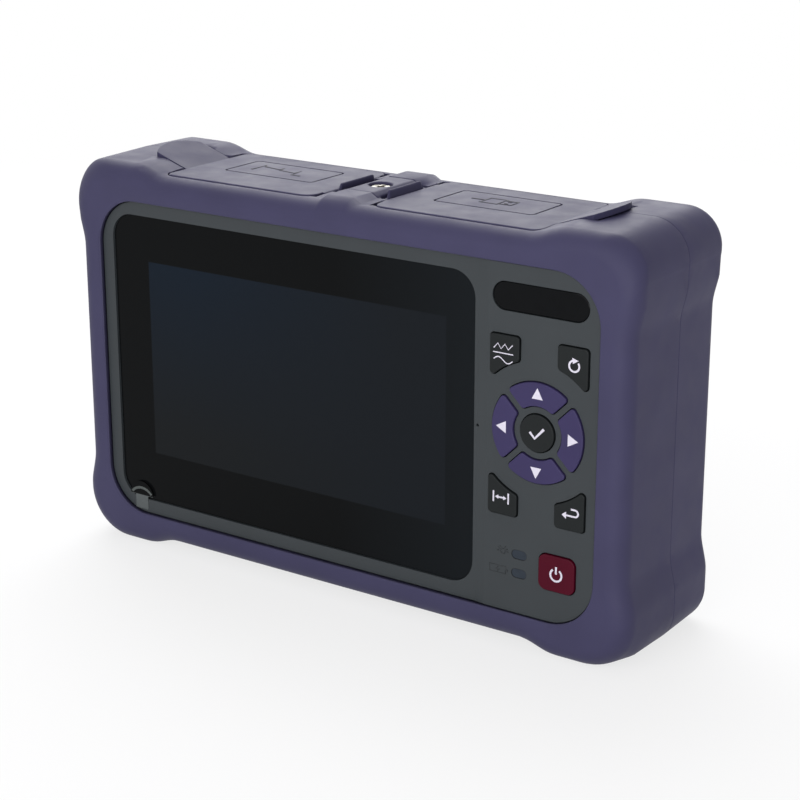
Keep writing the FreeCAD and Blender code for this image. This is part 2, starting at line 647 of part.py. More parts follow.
def band(face_y, outward):
    """Half of the raised band that crosses the top, with sloping sides rooted in the skin."""
    root = DRAFT_INSET + BAND_ROOT
    root_x = BAND_HALF_WIDTH + BAND_SLOPE * (BAND_RISE + root) / BAND_RISE
    sections = [(-root_x, -root), (-BAND_HALF_WIDTH, BAND_RISE), (BAND_HALF_WIDTH, BAND_RISE),
                (root_x, -root)]
    return Part.makeLoft([band_section(x, rise, face_y, outward) for x, rise in sections],
                         True, True)


# --- Common cut-outs ---------------------------------------------------------
def shell_rect(inset):
    return (-SHELL_HALF_X + inset, SHELL_HALF_X - inset, SHELL_LOW_Z + inset, SHELL_TOP_Z - inset,
            SHELL_CORNER_R - inset)


def panel_rect(inset):
    return (-PANEL_HALF_WIDTH + inset, PANEL_HALF_WIDTH - inset, PANEL_LOW_Z + inset,
            PANEL_TOP_Z - inset, PANEL_CORNER_R - inset)


def glass_rect(inset):
    return (GLASS_LEFT_X + inset, GLASS_RIGHT_X - inset, GLASS_LOW_Z + inset, GLASS_TOP_Z - inset,
            GLASS_CORNER_R - inset)


def flap_plan(near_x, gap, near_r, z0, z1):
    """Flap seen from above, with its own rounding at the hinge end."""
    half_y = FLAP_HALF_Y + gap
    far_r = FLAP_CORNER_R + gap
    wire = rounded_wire(rectangle(near_x, FLAP_END_X + gap, -half_y, half_y),
                        [near_r, far_r, far_r, near_r], lambda u, v: Vector(u, v, z0))
    return Part.Face(wire).extrude(Vector(0, 0, z1 - z0))


def tongue_strip(below, above, reach, half_y):
    """Strip along the tongue's top line, which carries on the bumper's slope."""
    root_x, end_x = FLAP_END_X - TONGUE_ROOT, TONGUE_END_X + reach
    end_z = FLAP_TOP_Z + (end_x - BUMP_FOOT_X) * TOP_BUMP / BUMP_SLOPE
    line = [(root_x, FLAP_TOP_Z), (BUMP_FOOT_X, FLAP_TOP_Z), (end_x, end_z)]
    return prism_y([(x, z - below) for x, z in line] + [(x, z + above) for x, z in line[::-1]],
                   -half_y, half_y)


def flap_window():
    """Opening in the skin for the right flap: its plan, its swing and its tongue."""
    plan = flap_plan(HINGE_X - BEAD_R - FLAP_GAP / 2, FLAP_GAP, FLAP_WINDOW_R,
                     SHELL_TOP_Z - SKIN / 2, BUMP_TOP_Z + TONGUE_T)
    swing_half = FLAP_HALF_Y - BEAD_R
    swing = rod_y(HINGE_X, HINGE_Z, BEAD_R + FLAP_GAP, -swing_half, swing_half)
    pocket = tongue_strip(TONGUE_T + TONGUE_CLEAR, TONGUE_T, TONGUE_CLEAR,
                          TONGUE_HALF_Y + TONGUE_CLEAR)
    return plan.fuse([swing, pocket])


def retainer_window():
    half_x = HINGE_X - BEAD_R
    return box(-half_x, half_x, -RETAINER_HALF_Y, RETAINER_HALF_Y, SHELL_TOP_Z - SKIN / 2,
               BUMP_TOP_Z + TONGUE_T)


def well_outer(fit, z0, z1):
    """Outside of the right port well, grown by a fit."""
    grow = WELL_WALL + fit
    return plate_z(WELL_NEAR_X - grow, WELL_FAR_X + grow, WELL_FRONT_Y - grow, WELL_BACK_Y + grow,
                   WELL_CORNER_R + grow, z0, z1)


def both_sides(shape):
    return shape.fuse(mirrored(shape))


def top_openings(fit=WELL_FIT):
    """Holes through the shells' top wall for both port wells."""
    return both_sides(well_outer(fit, CAVITY_TOP_Z - 1, SHELL_TOP_Z + 1))


def post_places():
    return [(x, z) for x in (-POST_X, POST_X) for z in (POST_LOW_Z, POST_TOP_Z)]


# --- Keys --------------------------------------------------------------------
def arrow_outline(quarter, grow, y0, y1):
    """Quarter of the arrow ring; quarter 0 is up, then left, down and right."""
    cx, cz = PAD_CENTRE_X, PAD_CENTRE_Z
    ring = rod_y(cx, cz, ARROW_OUTER_R + grow, y0, y1).cut(
        rod_y(cx, cz, ARROW_INNER_R - grow, y0 - 1, y1 + 1))
    apex = (ARROW_RIB / 2 - grow) * math.sqrt(2)
    reach = ARROW_OUTER_R * 1.5
    wedge = prism_y([(cx, cz + apex), (cx + reach, cz + apex + reach),
                     (cx - reach, cz + apex + reach)], y0, y1)
    key = ring.common(wedge)
    key = key.makeFillet(KEY_CORNER_R + grow, edges_where(key, runs_along_y))
    key.rotate(Vector(cx, 0, cz), Vector(0, 1, 0), -90 * quarter)
    return key


def corner_outline(side, level, grow, y0, y1):
    """Corner key: side is -1 or 1 for left or right, level -1 or 1 for low or high."""
    cx, cz = PAD_CENTRE_X, PAD_CENTRE_Z
    far = CORNER_KEY_TOP if level > 0 else CORNER_KEY_BOTTOM
    xs = sorted((cx + side * CORNER_KEY_IN, cx + side * CORNER_KEY_OUT))
    zs = sorted((cz + level * ARROW_INNER_R, cz + level * far))
    block = box(xs[0] - grow, xs[1] + grow, y0, y1, zs[0] - grow, zs[1] + grow)
    key = block.cut(rod_y(cx, cz, CORNER_KEY_ARC_R - grow, y0 - 1, y1 + 1))
    return key.makeFillet(KEY_CORNER_R + grow, edges_where(key, runs_along_y))


def power_outline(grow, y0, y1):
    half_x, half_z = POWER_KEY_WIDTH / 2, POWER_KEY_HEIGHT / 2
    rect = (POWER_KEY_X - half_x, POWER_KEY_X + half_x, POWER_KEY_Z - half_z, POWER_KEY_Z + half_z,
            POWER_KEY_R)
    return plate_y(*grown(rect, grow), y0, y1)


KEY_SHAPES = {
    "trace_mode_key": lambda *a: corner_outline(-1, 1, *a),
    "auto_test_key": lambda *a: corner_outline(1, 1, *a),
    "cursor_key": lambda *a: corner_outline(-1, -1, *a),
    "escape_key": lambda *a: corner_outline(1, -1, *a),
    "up_key": lambda *a: arrow_outline(0, *a),
    "left_key": lambda *a: arrow_outline(1, *a),
    "down_key": lambda *a: arrow_outline(2, *a),
    "right_key": lambda *a: arrow_outline(3, *a),
    "ok_key": lambda grow, y0, y1: rod_y(PAD_CENTRE_X, PAD_CENTRE_Z, OK_R + grow, y0, y1),
    "power_key": lambda *a: power_outline(*a),
}


def make_key(name):
    """Cap through the panel, with a flange behind it that keeps it in."""
    outline = KEY_SHAPES[name]
    cap = outline(0.0, KEY_FACE_Y, FLANGE_BACK_Y)
    cap = cap.makeFillet(KEY_EDGE_R, edges_where(cap, lambda e: lies_in_y(e, KEY_FACE_Y)))
    return cap.fuse(outline(KEY_FLANGE, CAVITY_FRONT_Y, FLANGE_BACK_Y)).removeSplitter()


def key_centres():
    centres = []
    for name in KEY_SHAPES:
        middle = KEY_SHAPES[name](0.0, 0.0, 1.0).CenterOfGravity
        centres.append((middle.x, middle.z))
    return centres


def keyboard_boss_places():
    near, far = PAD_CENTRE_X - CORNER_KEY_OUT, PAD_CENTRE_X + CORNER_KEY_OUT + BOSS_OUTSET
    high = PAD_CENTRE_Z + CORNER_KEY_TOP + BOSS_ABOVE
    low = PAD_CENTRE_Z - CORNER_KEY_BOTTOM - BOSS_BELOW
    return [(near, high), (far, high), (near, low), (far, low)]


def led_rect(z, grow):
    return grown((LED_X - LED_WIDTH / 2, LED_X + LED_WIDTH / 2, z - LED_HEIGHT / 2,
                  z + LED_HEIGHT / 2, LED_HEIGHT / 2 - 0.01), grow)


def badge_rect(grow):
    half_x, half_z = BADGE_WIDTH / 2, BADGE_HEIGHT / 2
    return grown((PAD_CENTRE_X - half_x, PAD_CENTRE_X + half_x, BADGE_Z - half_z,
                  BADGE_Z + half_z, half_z - 0.01), grow)


# --- Housing -----------------------------------------------------------------
def lcd_rect(grow):
    half_x, half_z = LCD_WIDTH / 2, LCD_HEIGHT / 2
    return grown((ACTIVE_CENTRE_X - half_x, ACTIVE_CENTRE_X + half_x, ACTIVE_CENTRE_Z - half_z,
                  ACTIVE_CENTRE_Z + half_z, LCD_CORNER_R), grow)


def bracket_boss_places():
    off_x = LCD_WIDTH / 2 + LCD_WINDOW_GAP + BRACKET_BOSS_GAP + BRACKET_BOSS_R
    off_z = LCD_HEIGHT / 2 - BRACKET_BOSS_INSET
    return [(ACTIVE_CENTRE_X + sx * off_x, ACTIVE_CENTRE_Z + sz * off_z)
            for sx in (-1, 1) for sz in (-1, 1)]


def ledge_screw_places():
    x = CAVITY_HALF_X - LEDGE_DEPTH_X / 2 - BOARD_EDGE_GAP / 2
    return [(-x, LEDGE_Z), (x, LEDGE_Z)]


def board_ledge(grow=0.0):
    ledge = box(CAVITY_HALF_X - LEDGE_DEPTH_X - grow, CAVITY_HALF_X + SHELL_WALL / 2,
                CAVITY_FRONT_Y, MAIN_BOARD_FRONT_Y, LEDGE_Z - LEDGE_HEIGHT / 2 - grow,
                LEDGE_Z + LEDGE_HEIGHT / 2 + grow)
    return both_sides(ledge)


def screw_holes_y(places, radius, y0, y1):
    holes = [rod_y(x, z, radius, y0, y1) for x, z in places]
    return holes[0].multiFuse(holes[1:])


def seal_ring():
    outer = shell_rect((SHELL_WALL - SEAL_WIDTH) / 2)
    inner = shell_rect((SHELL_WALL + SEAL_WIDTH) / 2)
    return ring_y(outer, inner, PARTING_Y - SEAL_HEIGHT, PARTING_Y)


def retainer_boss(fit):
    low = SHELL_TOP_Z - INSERT_LENGTH - SHELL_WALL
    return rod_z(0, 0, RETAINER_BOSS_R + fit, low - fit, SHELL_TOP_Z)


def key_pad_field():
    """Raised field under the keys, with a sloping edge beside the screen."""
    slope_end = PAD_START_X + PAD_SLOPE
    wedge = prism_z([(PAD_START_X, PANEL_Y), (slope_end, PAD_Y), (PANEL_HALF_WIDTH, PAD_Y),
                     (PANEL_HALF_WIDTH, SHELL_FRONT_Y), (PAD_START_X, SHELL_FRONT_Y)],
                    PANEL_LOW_Z, PANEL_TOP_Z)
    return wedge.common(plate_y(*panel_rect(0.0), PAD_Y, SHELL_FRONT_Y))


def make_front_shell():
    shell = plate_y(*shell_rect(0.0), SHELL_FRONT_Y, PARTING_Y)
    shell = shell.fuse([plate_y(*panel_rect(0.0), PANEL_Y, SHELL_FRONT_Y), key_pad_field()])
    shell = shell.cut(plate_y(*shell_rect(SHELL_WALL), CAVITY_FRONT_Y, PARTING_Y))
    posts = [rod_y(x, POST_TOP_Z, POST_R, CAVITY_FRONT_Y, PARTING_Y) for x in (-POST_X, POST_X)]
    for x in (-POST_X, POST_X):
        posts.append(rod_y(x, POST_LOW_Z, POST_R, CAVITY_FRONT_Y, MAIN_BOARD_FRONT_Y))
        posts.append(rod_y(x, POST_LOW_Z, POST_NECK_R, CAVITY_FRONT_Y, PARTING_Y))
    for x, z in keyboard_boss_places():
        posts.append(rod_y(x, z, KEYBOARD_BOSS_R, CAVITY_FRONT_Y, KEYBOARD_Y))
    for x, z in bracket_boss_places():
        posts.append(rod_y(x, z, BRACKET_BOSS_R, CAVITY_FRONT_Y, LCD_BACK_Y))
    posts.append(board_ledge())
    posts.append(retainer_boss(0.0))
    shell = shell.fuse(posts)
    cuts = [plate_y(*glass_rect(-GLASS_GAP), PAD_Y, GLASS_BACK_Y + GLASS_TAPE_T),
            plate_y(*lcd_rect(LCD_WINDOW_GAP), PAD_Y, CAVITY_FRONT_Y), make_housing_seal()]
    cuts += [KEY_SHAPES[name](KEY_GAP, PAD_Y - 1, CAVITY_FRONT_Y) for name in KEY_SHAPES]
    cuts += [plate_y(*led_rect(z, LED_GAP), PAD_Y, CAVITY_FRONT_Y) for z in LED_ZS]
    cuts.append(plate_y(*badge_rect(LED_GAP), PAD_Y, PAD_Y + BADGE_SINK + BADGE_T))
    cuts.append(screw_holes_y(post_places(), CASE_SCREW_R + SCREW_FIT,
                              PARTING_Y - CASE_SCREW_BITE - CASE_PILOT_EXTRA, PARTING_Y))
    small, bottom_y = SMALL_SCREW_R + SCREW_FIT, CAVITY_FRONT_Y + BOSS_FLOOR
    cuts.append(screw_holes_y(keyboard_boss_places(), small, bottom_y, KEYBOARD_Y))
    cuts.append(screw_holes_y(bracket_boss_places(), small, bottom_y, LCD_BACK_Y))
    cuts.append(screw_holes_y(ledge_screw_places(), small,
                              MAIN_BOARD_BACK_Y - BOARD_SCREW_LENGTH - PILOT_EXTRA,
                              MAIN_BOARD_FRONT_Y))
    cuts.append(rod_y(GLASS_RIGHT_X + MIC_SETBACK, ACTIVE_CENTRE_Z + MIC_RAISE, MIC_R, PAD_Y,
                      PANEL_Y + MIC_DEPTH))
    cuts.append(rod_z(0, 0, INSERT_R, SHELL_TOP_Z - INSERT_LENGTH, SHELL_TOP_Z))
    cuts.append(top_openings())
    return shell.cut(cuts)


def make_front_bumper():
    skin = skin_half(FRONT_Y).fuse(band(FRONT_Y, -1))
    opening = plate_y(*panel_rect(-PANEL_GAP), FRONT_Y - 1, SHELL_FRONT_Y)
    lip = Part.makeLoft([
        rounded_wire(rectangle(*panel_rect(-PANEL_GAP)[:4]), [PANEL_CORNER_R + PANEL_GAP] * 4,
                     lambda u, v: Vector(u, FRONT_Y + RIM_LIP, v)),
        rounded_wire(rectangle(*panel_rect(-PANEL_GAP - RIM_LIP)[:4]),
                     [PANEL_CORNER_R + PANEL_GAP + RIM_LIP] * 4,
                     lambda u, v: Vector(u, FRONT_Y, v))], True, True)
    window = both_sides(flap_window()).fuse(retainer_window())
    return skin.cut([plate_y(*shell_rect(0.0), SHELL_FRONT_Y, PARTING_Y), opening, lip, window])


def stand_u(grow, y0, y1):
    """U-shaped outline of the stand, or of its channel when grown."""
    top = STAND_PIVOT_Z + STAND_T / 2 + grow
    outer = plate_y(-STAND_HALF_X - grow, STAND_HALF_X + grow, STAND_LOW_Z - grow,
                    top + STAND_CORNER_R * 2, STAND_CORNER_R + grow, y0, y1)
    inner_x = STAND_HALF_X - STAND_ARM - grow
    inner = box(-inner_x, inner_x, y0, y1, STAND_LOW_Z + STAND_BAR + grow, BODY_TOP_Z)
    above = box(-BODY_WIDTH, BODY_WIDTH, y0, y1, top, BODY_TOP_Z * 2)
    return outer.cut([inner, above])


def trunnions(radius, extra):
    arm_inner, arm_outer = STAND_HALF_X - STAND_ARM, STAND_HALF_X
    reach = TRUNNION_LENGTH + extra
    rods = [rod_x(STAND_AXIS_Y, STAND_PIVOT_Z, radius, arm_inner - reach, arm_outer + reach)]
    rods.append(mirrored(rods[0]))
    return rods[0].fuse(rods[1])


def make_kickstand():
    stand = stand_u(0.0, STAND_FRONT_Y, BACK_FIELD_Y)
    stand = stand.cut(box(-BODY_WIDTH, BODY_WIDTH, STAND_FRONT_Y, BACK_FIELD_Y, STAND_PIVOT_Z,
                          BODY_TOP_Z))
    edges = edges_where(stand, lambda e: lies_in_y(e, BACK_FIELD_Y)
                        and not lies_in_z(e, STAND_PIVOT_Z))
    stand = stand.makeChamfer(STAND_CHAMFER, edges)
    heel = rod_x(STAND_AXIS_Y, STAND_PIVOT_Z, STAND_T / 2, STAND_HALF_X - STAND_ARM, STAND_HALF_X)
    return stand.fuse([heel, mirrored(heel), trunnions(TRUNNION_R, 0.0)]).removeSplitter()


def battery_rect(grow):
    return (-BATTERY_HALF_X - grow, BATTERY_HALF_X + grow, BATTERY_LOW_Z - grow,
            BATTERY_TOP_Z + grow, BATTERY_R + grow)


def door_rect(grow):
    opening = BATTERY_GAP + grow
    return (-BATTERY_HALF_X - opening - DOOR_SIDE_LAP, BATTERY_HALF_X + opening + DOOR_SIDE_LAP,
            BATTERY_LOW_Z - opening - DOOR_END_LAP, BATTERY_TOP_Z + opening + DOOR_END_LAP,
            DOOR_R + grow)


def door_screw_places():
    off = BATTERY_GAP + DOOR_END_LAP / 2
    return [(x, z) for x in (-DOOR_SCREW_X, DOOR_SCREW_X)
            for z in (BATTERY_LOW_Z - off, BATTERY_TOP_Z + off)]


def make_rear_shell():
    shell = plate_y(*shell_rect(0.0), PARTING_Y, SHELL_BACK_Y)
    shell = shell.fuse(plate_y(*panel_rect(0.0), SHELL_BACK_Y, BACK_FIELD_Y))
    shell = shell.cut(plate_y(*shell_rect(SHELL_WALL), PARTING_Y, CAVITY_BACK_Y))
    tub_front_y = BATTERY_BACK_Y - BATTERY_T - BATTERY_WALL
    inside = [rod_y(x, z, REAR_POST_R, PARTING_Y, CAVITY_BACK_Y) for x, z in post_places()]
    inside.append(plate_y(*battery_rect(BATTERY_GAP + BATTERY_WALL), tub_front_y, CAVITY_BACK_Y))
    inside += [rod_y(x, z, DOOR_BOSS_R, CAVITY_BACK_Y - DOOR_BOSS_LENGTH, CAVITY_BACK_Y)
               for x, z in door_screw_places()]
    channel_y = STAND_FRONT_Y - STAND_FLOOR_GAP
    inside.append(stand_u(STAND_GAP + STAND_BACKING, channel_y - STAND_BACKING, CAVITY_BACK_Y))
    shell = shell.fuse(inside)
    cuts = [plate_y(*battery_rect(BATTERY_GAP), BATTERY_BACK_Y - BATTERY_T, DOOR_SEAT_Y),
            plate_y(*door_rect(DOOR_GAP), DOOR_SEAT_Y, BACK_FIELD_Y),
            stand_u(STAND_GAP, channel_y, BACK_FIELD_Y),
            trunnions(TRUNNION_R + TRUNNION_FIT, TRUNNION_FIT),
            plate_y(-SCOOP_HALF_X, SCOOP_HALF_X, STAND_LOW_Z - STAND_GAP - SCOOP_DEPTH,
                    STAND_LOW_Z + STAND_GAP, SCOOP_DEPTH / 2, BACK_FIELD_Y - SCOOP_DEPTH,
                    BACK_FIELD_Y)]
    cuts.append(screw_holes_y(post_places(), CASE_SCREW_R + HEAD_FIT, PARTING_Y, BACK_Y))
    cuts.append(screw_holes_y(post_places(), CASE_HEAD_R + HEAD_FIT, CASE_HEAD_SEAT_Y, BACK_Y))
    cuts.append(screw_holes_y(door_screw_places(), SMALL_SCREW_R + SCREW_FIT,
                              CAVITY_BACK_Y - DOOR_BOSS_LENGTH + DOOR_BOSS_FLOOR, DOOR_SEAT_Y))
    cuts.append(top_openings())
    cuts.append(retainer_boss(WELL_FIT))
    return shell.cut(cuts)


def make_rear_bumper():
    skin = skin_half(BACK_Y).fuse(band(BACK_Y, 1))
    opening = plate_y(*panel_rect(-PANEL_GAP), SHELL_BACK_Y, BACK_Y + 1)
    heads = screw_holes_y(post_places(), CASE_HEAD_R + HEAD_FIT, SHELL_BACK_Y, BACK_Y + 1)
    window = both_sides(flap_window()).fuse(retainer_window())
    return skin.cut([plate_y(*shell_rect(0.0), PARTING_Y, SHELL_BACK_Y), opening, heads, window])


def make_housing_seal():
    seal = seal_ring()
    return seal.cut([both_sides(well_outer(WELL_FIT, CAVITY_TOP_Z - 1, SHELL_TOP_Z + 1)),
                     retainer_boss(0.0)])


def make_battery_door():
    door = plate_y(*door_rect(0.0), DOOR_SEAT_Y, BACK_FIELD_Y)
    door = door.cut(screw_holes_y(door_screw_places(), SMALL_SCREW_R + HEAD_FIT, DOOR_SEAT_Y,
                                  BACK_FIELD_Y))
    return door.cut(screw_holes_y(door_screw_places(), SMALL_HEAD_R + HEAD_FIT,
                                  BACK_FIELD_Y - SMALL_HEAD_T, BACK_FIELD_Y))


def make_battery_pack():
    back = BATTERY_BACK_Y
    return plate_y(*battery_rect(0.0), back - BATTERY_T, back)


# --- Port wells, flaps and their retainer ------------------------------------
def make_well(depth):
    """Right-hand port well: a tub through the top wall with a lip under it."""
    floor_z = SHELL_TOP_Z - depth
    tub = well_outer(0.0, floor_z - WELL_FLOOR_T, SHELL_TOP_Z)
    lip = well_outer(WELL_LIP, CAVITY_TOP_Z - WELL_LIP_T, CAVITY_TOP_Z)
    hollow = plate_z(WELL_NEAR_X, WELL_FAR_X, WELL_FRONT_Y, WELL_BACK_Y, WELL_CORNER_R,
                     floor_z, SHELL_TOP_Z)
    return tub.fuse(lip).cut(hollow)


def port_screw_places():
    off = PORT_FLANGE / 2 - PORT_SCREW_EDGE
    return [(x + s * off, WELL_MIDDLE_Y + s * off) for x in OPTICAL_PORT_XS for s in (-1, 1)]


def make_optical_port_well():
    well = mirrored(make_well(OPTICAL_WELL_DEPTH))
    floor_z = OPTICAL_FLOOR_Z
    low = floor_z - WELL_FLOOR_T
    cuts = [rod_z(x, WELL_MIDDLE_Y, PORT_TAIL_R + WELL_FIT, low, floor_z) for x in OPTICAL_PORT_XS]
    cuts += [rod_z(x, y, SMALL_SCREW_R + SCREW_FIT, low, floor_z) for x, y in port_screw_places()]
    return well.cut(cuts)


def port_board_screw_places():
    half_x = (WELL_FAR_X - WELL_NEAR_X) / 2 - WELL_WALL - SMALL_HEAD_R
    half_y = WELL_DEPTH_Y / 2 - WELL_WALL - SMALL_HEAD_R
    return [(WELL_MIDDLE_X + sx * half_x, WELL_MIDDLE_Y + sy * half_y) for sx in (-1, 1)
            for sy in (-1, 1)]


def socket_rect(x, width, depth, grow):
    return (x - width / 2 - grow, x + width / 2 + grow, WELL_MIDDLE_Y - depth / 2 - grow,
            WELL_MIDDLE_Y + depth / 2 + grow)


def make_usb_port_well():
    well = make_well(USB_WELL_DEPTH)
    low = USB_FLOOR_Z - WELL_FLOOR_T
    legs = [rod_z(x, y, STANDOFF_R, PORT_BOARD_Z, low) for x, y in port_board_screw_places()]
    well = well.fuse(legs)
    cuts = [box(*socket_rect(USB_A_X, USB_A_WIDTH, USB_A_DEPTH, WELL_FIT), low, USB_FLOOR_Z),
            box(*socket_rect(MICRO_USB_X, MICRO_USB_WIDTH, MICRO_USB_DEPTH, WELL_FIT), low,
                USB_FLOOR_Z)]
    cuts += [rod_z(x, y, SMALL_SCREW_R + SCREW_FIT, PORT_BOARD_Z, low - STANDOFF_R)
             for x, y in port_board_screw_places()]
    return well.cut(cuts)


def make_optical_port(x):
    """Round adapter with a ferrule sleeve, on a square flange."""
    floor_z = OPTICAL_FLOOR_Z
    y = WELL_MIDDLE_Y
    half = PORT_FLANGE / 2
    port = plate_z(x - half, x + half, y - half, y + half, PORT_FLANGE_R, floor_z,
                   floor_z + PORT_FLANGE_T)
    port = port.fuse([rod_z(x, y, PORT_BARREL_R, floor_z, PORT_BARREL_TOP),
                      rod_z(x, y, PORT_TAIL_R, floor_z - PORT_TAIL_LENGTH, floor_z)])
    ring = rod_z(x, y, SOCKET_RING_R, floor_z + PORT_FLANGE_T, PORT_BARREL_TOP).cut(
        rod_z(x, y, SLEEVE_R, floor_z, PORT_BARREL_TOP))
    over_sleeve = rod_z(x, y, SOCKET_RING_R, PORT_BARREL_TOP - SLEEVE_SETBACK, PORT_BARREL_TOP)
    bore = rod_z(x, y, FERRULE_BORE_R, floor_z - PORT_TAIL_LENGTH + PORT_TAIL_FLOOR,
                 PORT_BARREL_TOP)
    key_way = box(x - KEY_WAY_HALF_WIDTH, x + KEY_WAY_HALF_WIDTH, y - PORT_BARREL_R - SLEEVE_R,
                  y - SLEEVE_R - KEY_WAY_GAP, PORT_BARREL_TOP - KEY_WAY_DEPTH, PORT_BARREL_TOP)
    holes = [rod_z(px, py, SMALL_SCREW_R + HEAD_FIT, floor_z, floor_z + PORT_FLANGE_T)
             for px, py in port_screw_places() if abs(px - x) < half]
    return port.cut([ring, over_sleeve, bore, key_way] + holes)


def make_socket(x, width, depth, contact_t, contact_offset):
    """Metal shell open upwards, with its contact tongue on a back plug."""
    top = USB_FLOOR_Z + SOCKET_PROUD
    socket = box(*socket_rect(x, width, depth, 0.0), PORT_BOARD_Z, top)
    hollow = box(*socket_rect(x, width, depth, -SOCKET_METAL), PORT_BOARD_Z + SOCKET_BACK, top)
    half_x = width / 2 - CONTACT_SIDE_GAP
    middle_y = WELL_MIDDLE_Y + contact_offset
    contact = box(x - half_x, x + half_x, middle_y - contact_t / 2, middle_y + contact_t / 2,
                  PORT_BOARD_Z + SOCKET_BACK, top - CONTACT_SETBACK)
    return socket.cut(hollow).fuse(contact)


def make_port_board():
    grow = SMALL_HEAD_R + PORT_BOARD_EDGE
    places = port_board_screw_places()
    xs, ys = [p[0] for p in places], [p[1] for p in places]
    board = plate_z(min(xs) - grow, max(xs) + grow, min(ys) - grow, max(ys) + grow, PORT_BOARD_R,
                    PORT_BOARD_Z - PORT_BOARD_T, PORT_BOARD_Z)
    return board.cut([rod_z(x, y, SMALL_SCREW_R + HEAD_FIT, PORT_BOARD_Z - PORT_BOARD_T,
                            PORT_BOARD_Z) for x, y in places])


def sign_frame():
    rect = (SIGN_FRAME_X - SIGN_FRAME_WIDTH / 2, SIGN_FRAME_X + SIGN_FRAME_WIDTH / 2,
            SIGN_FRAME_Y - SIGN_FRAME_DEPTH / 2, SIGN_FRAME_Y + SIGN_FRAME_DEPTH / 2, SIGN_FRAME_R)
    outer = plate_z(*rect, FLAP_TOP_Z - SIGN_SINK, FLAP_TOP_Z)
    return outer.cut(plate_z(*grown(rect, -SIGN_LINE), FLAP_TOP_Z - SIGN_SINK, FLAP_TOP_Z))


def flap_tongue():
    """Pull lip that climbs the bumper's slope beyond the flap's end."""
    strip = tongue_strip(TONGUE_T, 0.0, 0.0, TONGUE_HALF_Y)
    rounding = rod_z(TONGUE_END_X - TONGUE_END_R, 0, TONGUE_END_R, FLAP_LOW_Z,
                     BUMP_TOP_Z + TONGUE_REACH)
    return strip.common(rounding)


def make_flap():
    """Right-hand rubber flap: plate, hinge bead, plug rim and pull lip."""
    low, top = FLAP_LOW_Z, FLAP_TOP_Z
    plate = flap_plan(HINGE_X, 0.0, FLAP_NEAR_R, low, top)
    plate = plate.makeFillet(FLAP_EDGE_R, edges_where(
        plate, lambda e: lies_in_z(e, top) and e.BoundBox.XMax > HINGE_X + FLAP_NEAR_R + 0.01))
    bead_half = FLAP_HALF_Y - FLAP_WINDOW_R
    bead = rod_y(HINGE_X, HINGE_Z, BEAD_R, -bead_half, bead_half)
    plug_outer = plate_z(WELL_NEAR_X + FLAP_PLUG_GAP, WELL_FAR_X - FLAP_PLUG_GAP,
                         WELL_FRONT_Y + FLAP_PLUG_GAP, WELL_BACK_Y - FLAP_PLUG_GAP,
                         WELL_CORNER_R - FLAP_PLUG_GAP, low - FLAP_PLUG_DEPTH, low)
    inset = FLAP_PLUG_GAP + FLAP_PLUG_WALL
    plug_inner = plate_z(WELL_NEAR_X + inset, WELL_FAR_X - inset, WELL_FRONT_Y + inset,
                         WELL_BACK_Y - inset, WELL_CORNER_R - inset, low - FLAP_PLUG_DEPTH, low)
    flap = plate.fuse([bead, plug_outer.cut(plug_inner), flap_tongue()]).cut(sign_frame())
    return flap.removeSplitter()


def retainer_ridge():
    """Thin wall beside the right hinge bead: its outer side and its ends lean in."""
    top_z, half_y = BODY_TOP_Z + RIDGE_RISE, RIDGE_HALF_Y
    across = prism_y([(RIDGE_INNER_X, SHELL_TOP_Z), (RIDGE_FOOT_X, SHELL_TOP_Z),
                      (RIDGE_FOOT_X, HINGE_Z), (RIDGE_INNER_X + RIDGE_TOP_WIDTH, top_z),
                      (RIDGE_INNER_X, top_z)], -half_y, half_y)
    along = prism_x([(-half_y, SHELL_TOP_Z), (half_y, SHELL_TOP_Z), (half_y, HINGE_Z),
                     (half_y - RIDGE_END_SLOPE, top_z), (RIDGE_END_SLOPE - half_y, top_z),
                     (-half_y, HINGE_Z)], RIDGE_INNER_X, RIDGE_FOOT_X)
    ridge = across.common(along)
    return ridge.makeFillet(RIDGE_EDGE_R, edges_where(ridge, lambda e: lies_in_z(e, top_z)))


def make_flap_retainer():
    """Clamp between the flaps: band, two ridges beside open trenches, and a foot under each
    hinge bead."""
    half_y, foot_x = RETAINER_HALF_Y, HINGE_X - FOOT_SETBACK
    base = box(-foot_x, foot_x, -half_y, half_y, SHELL_TOP_Z, SHELL_TOP_Z + TRENCH_FLOOR_T)
    middle = prism_y([(-BAND_FOOT_X, SHELL_TOP_Z), (BAND_FOOT_X, SHELL_TOP_Z),
                      (BAND_FOOT_X, BODY_TOP_Z), (BAND_HALF_WIDTH, BAND_Z),
                      (-BAND_HALF_WIDTH, BAND_Z), (-BAND_FOOT_X, BODY_TOP_Z)], -half_y, half_y)
    end_top = BODY_TOP_Z - DRAFT_INSET
    ends = [box(-RIDGE_FOOT_X, RIDGE_FOOT_X, y, y + half_y - RIDGE_HALF_Y, SHELL_TOP_Z, end_top)
            for y in (-half_y, RIDGE_HALF_Y)]
    retainer = base.fuse([middle, both_sides(retainer_ridge())] + ends)
    cradle = rod_y(HINGE_X, HINGE_Z, BEAD_R + HINGE_CLEAR, -half_y, half_y)
    return retainer.cut([both_sides(cradle), rod_z(0, 0, SCREW_WELL_R, SCREW_SEAT_Z, BAND_Z),
                         rod_z(0, 0, RETAINER_SCREW_R + HEAD_FIT, SHELL_TOP_Z, SCREW_SEAT_Z)])


def make_retainer_screw():
    screw = screw_up(RETAINER_SCREW_R, RETAINER_SCREW_LENGTH, RETAINER_HEAD_R, RETAINER_HEAD_T)
    screw.translate(Vector(0, 0, SCREW_SEAT_Z))
    return screw


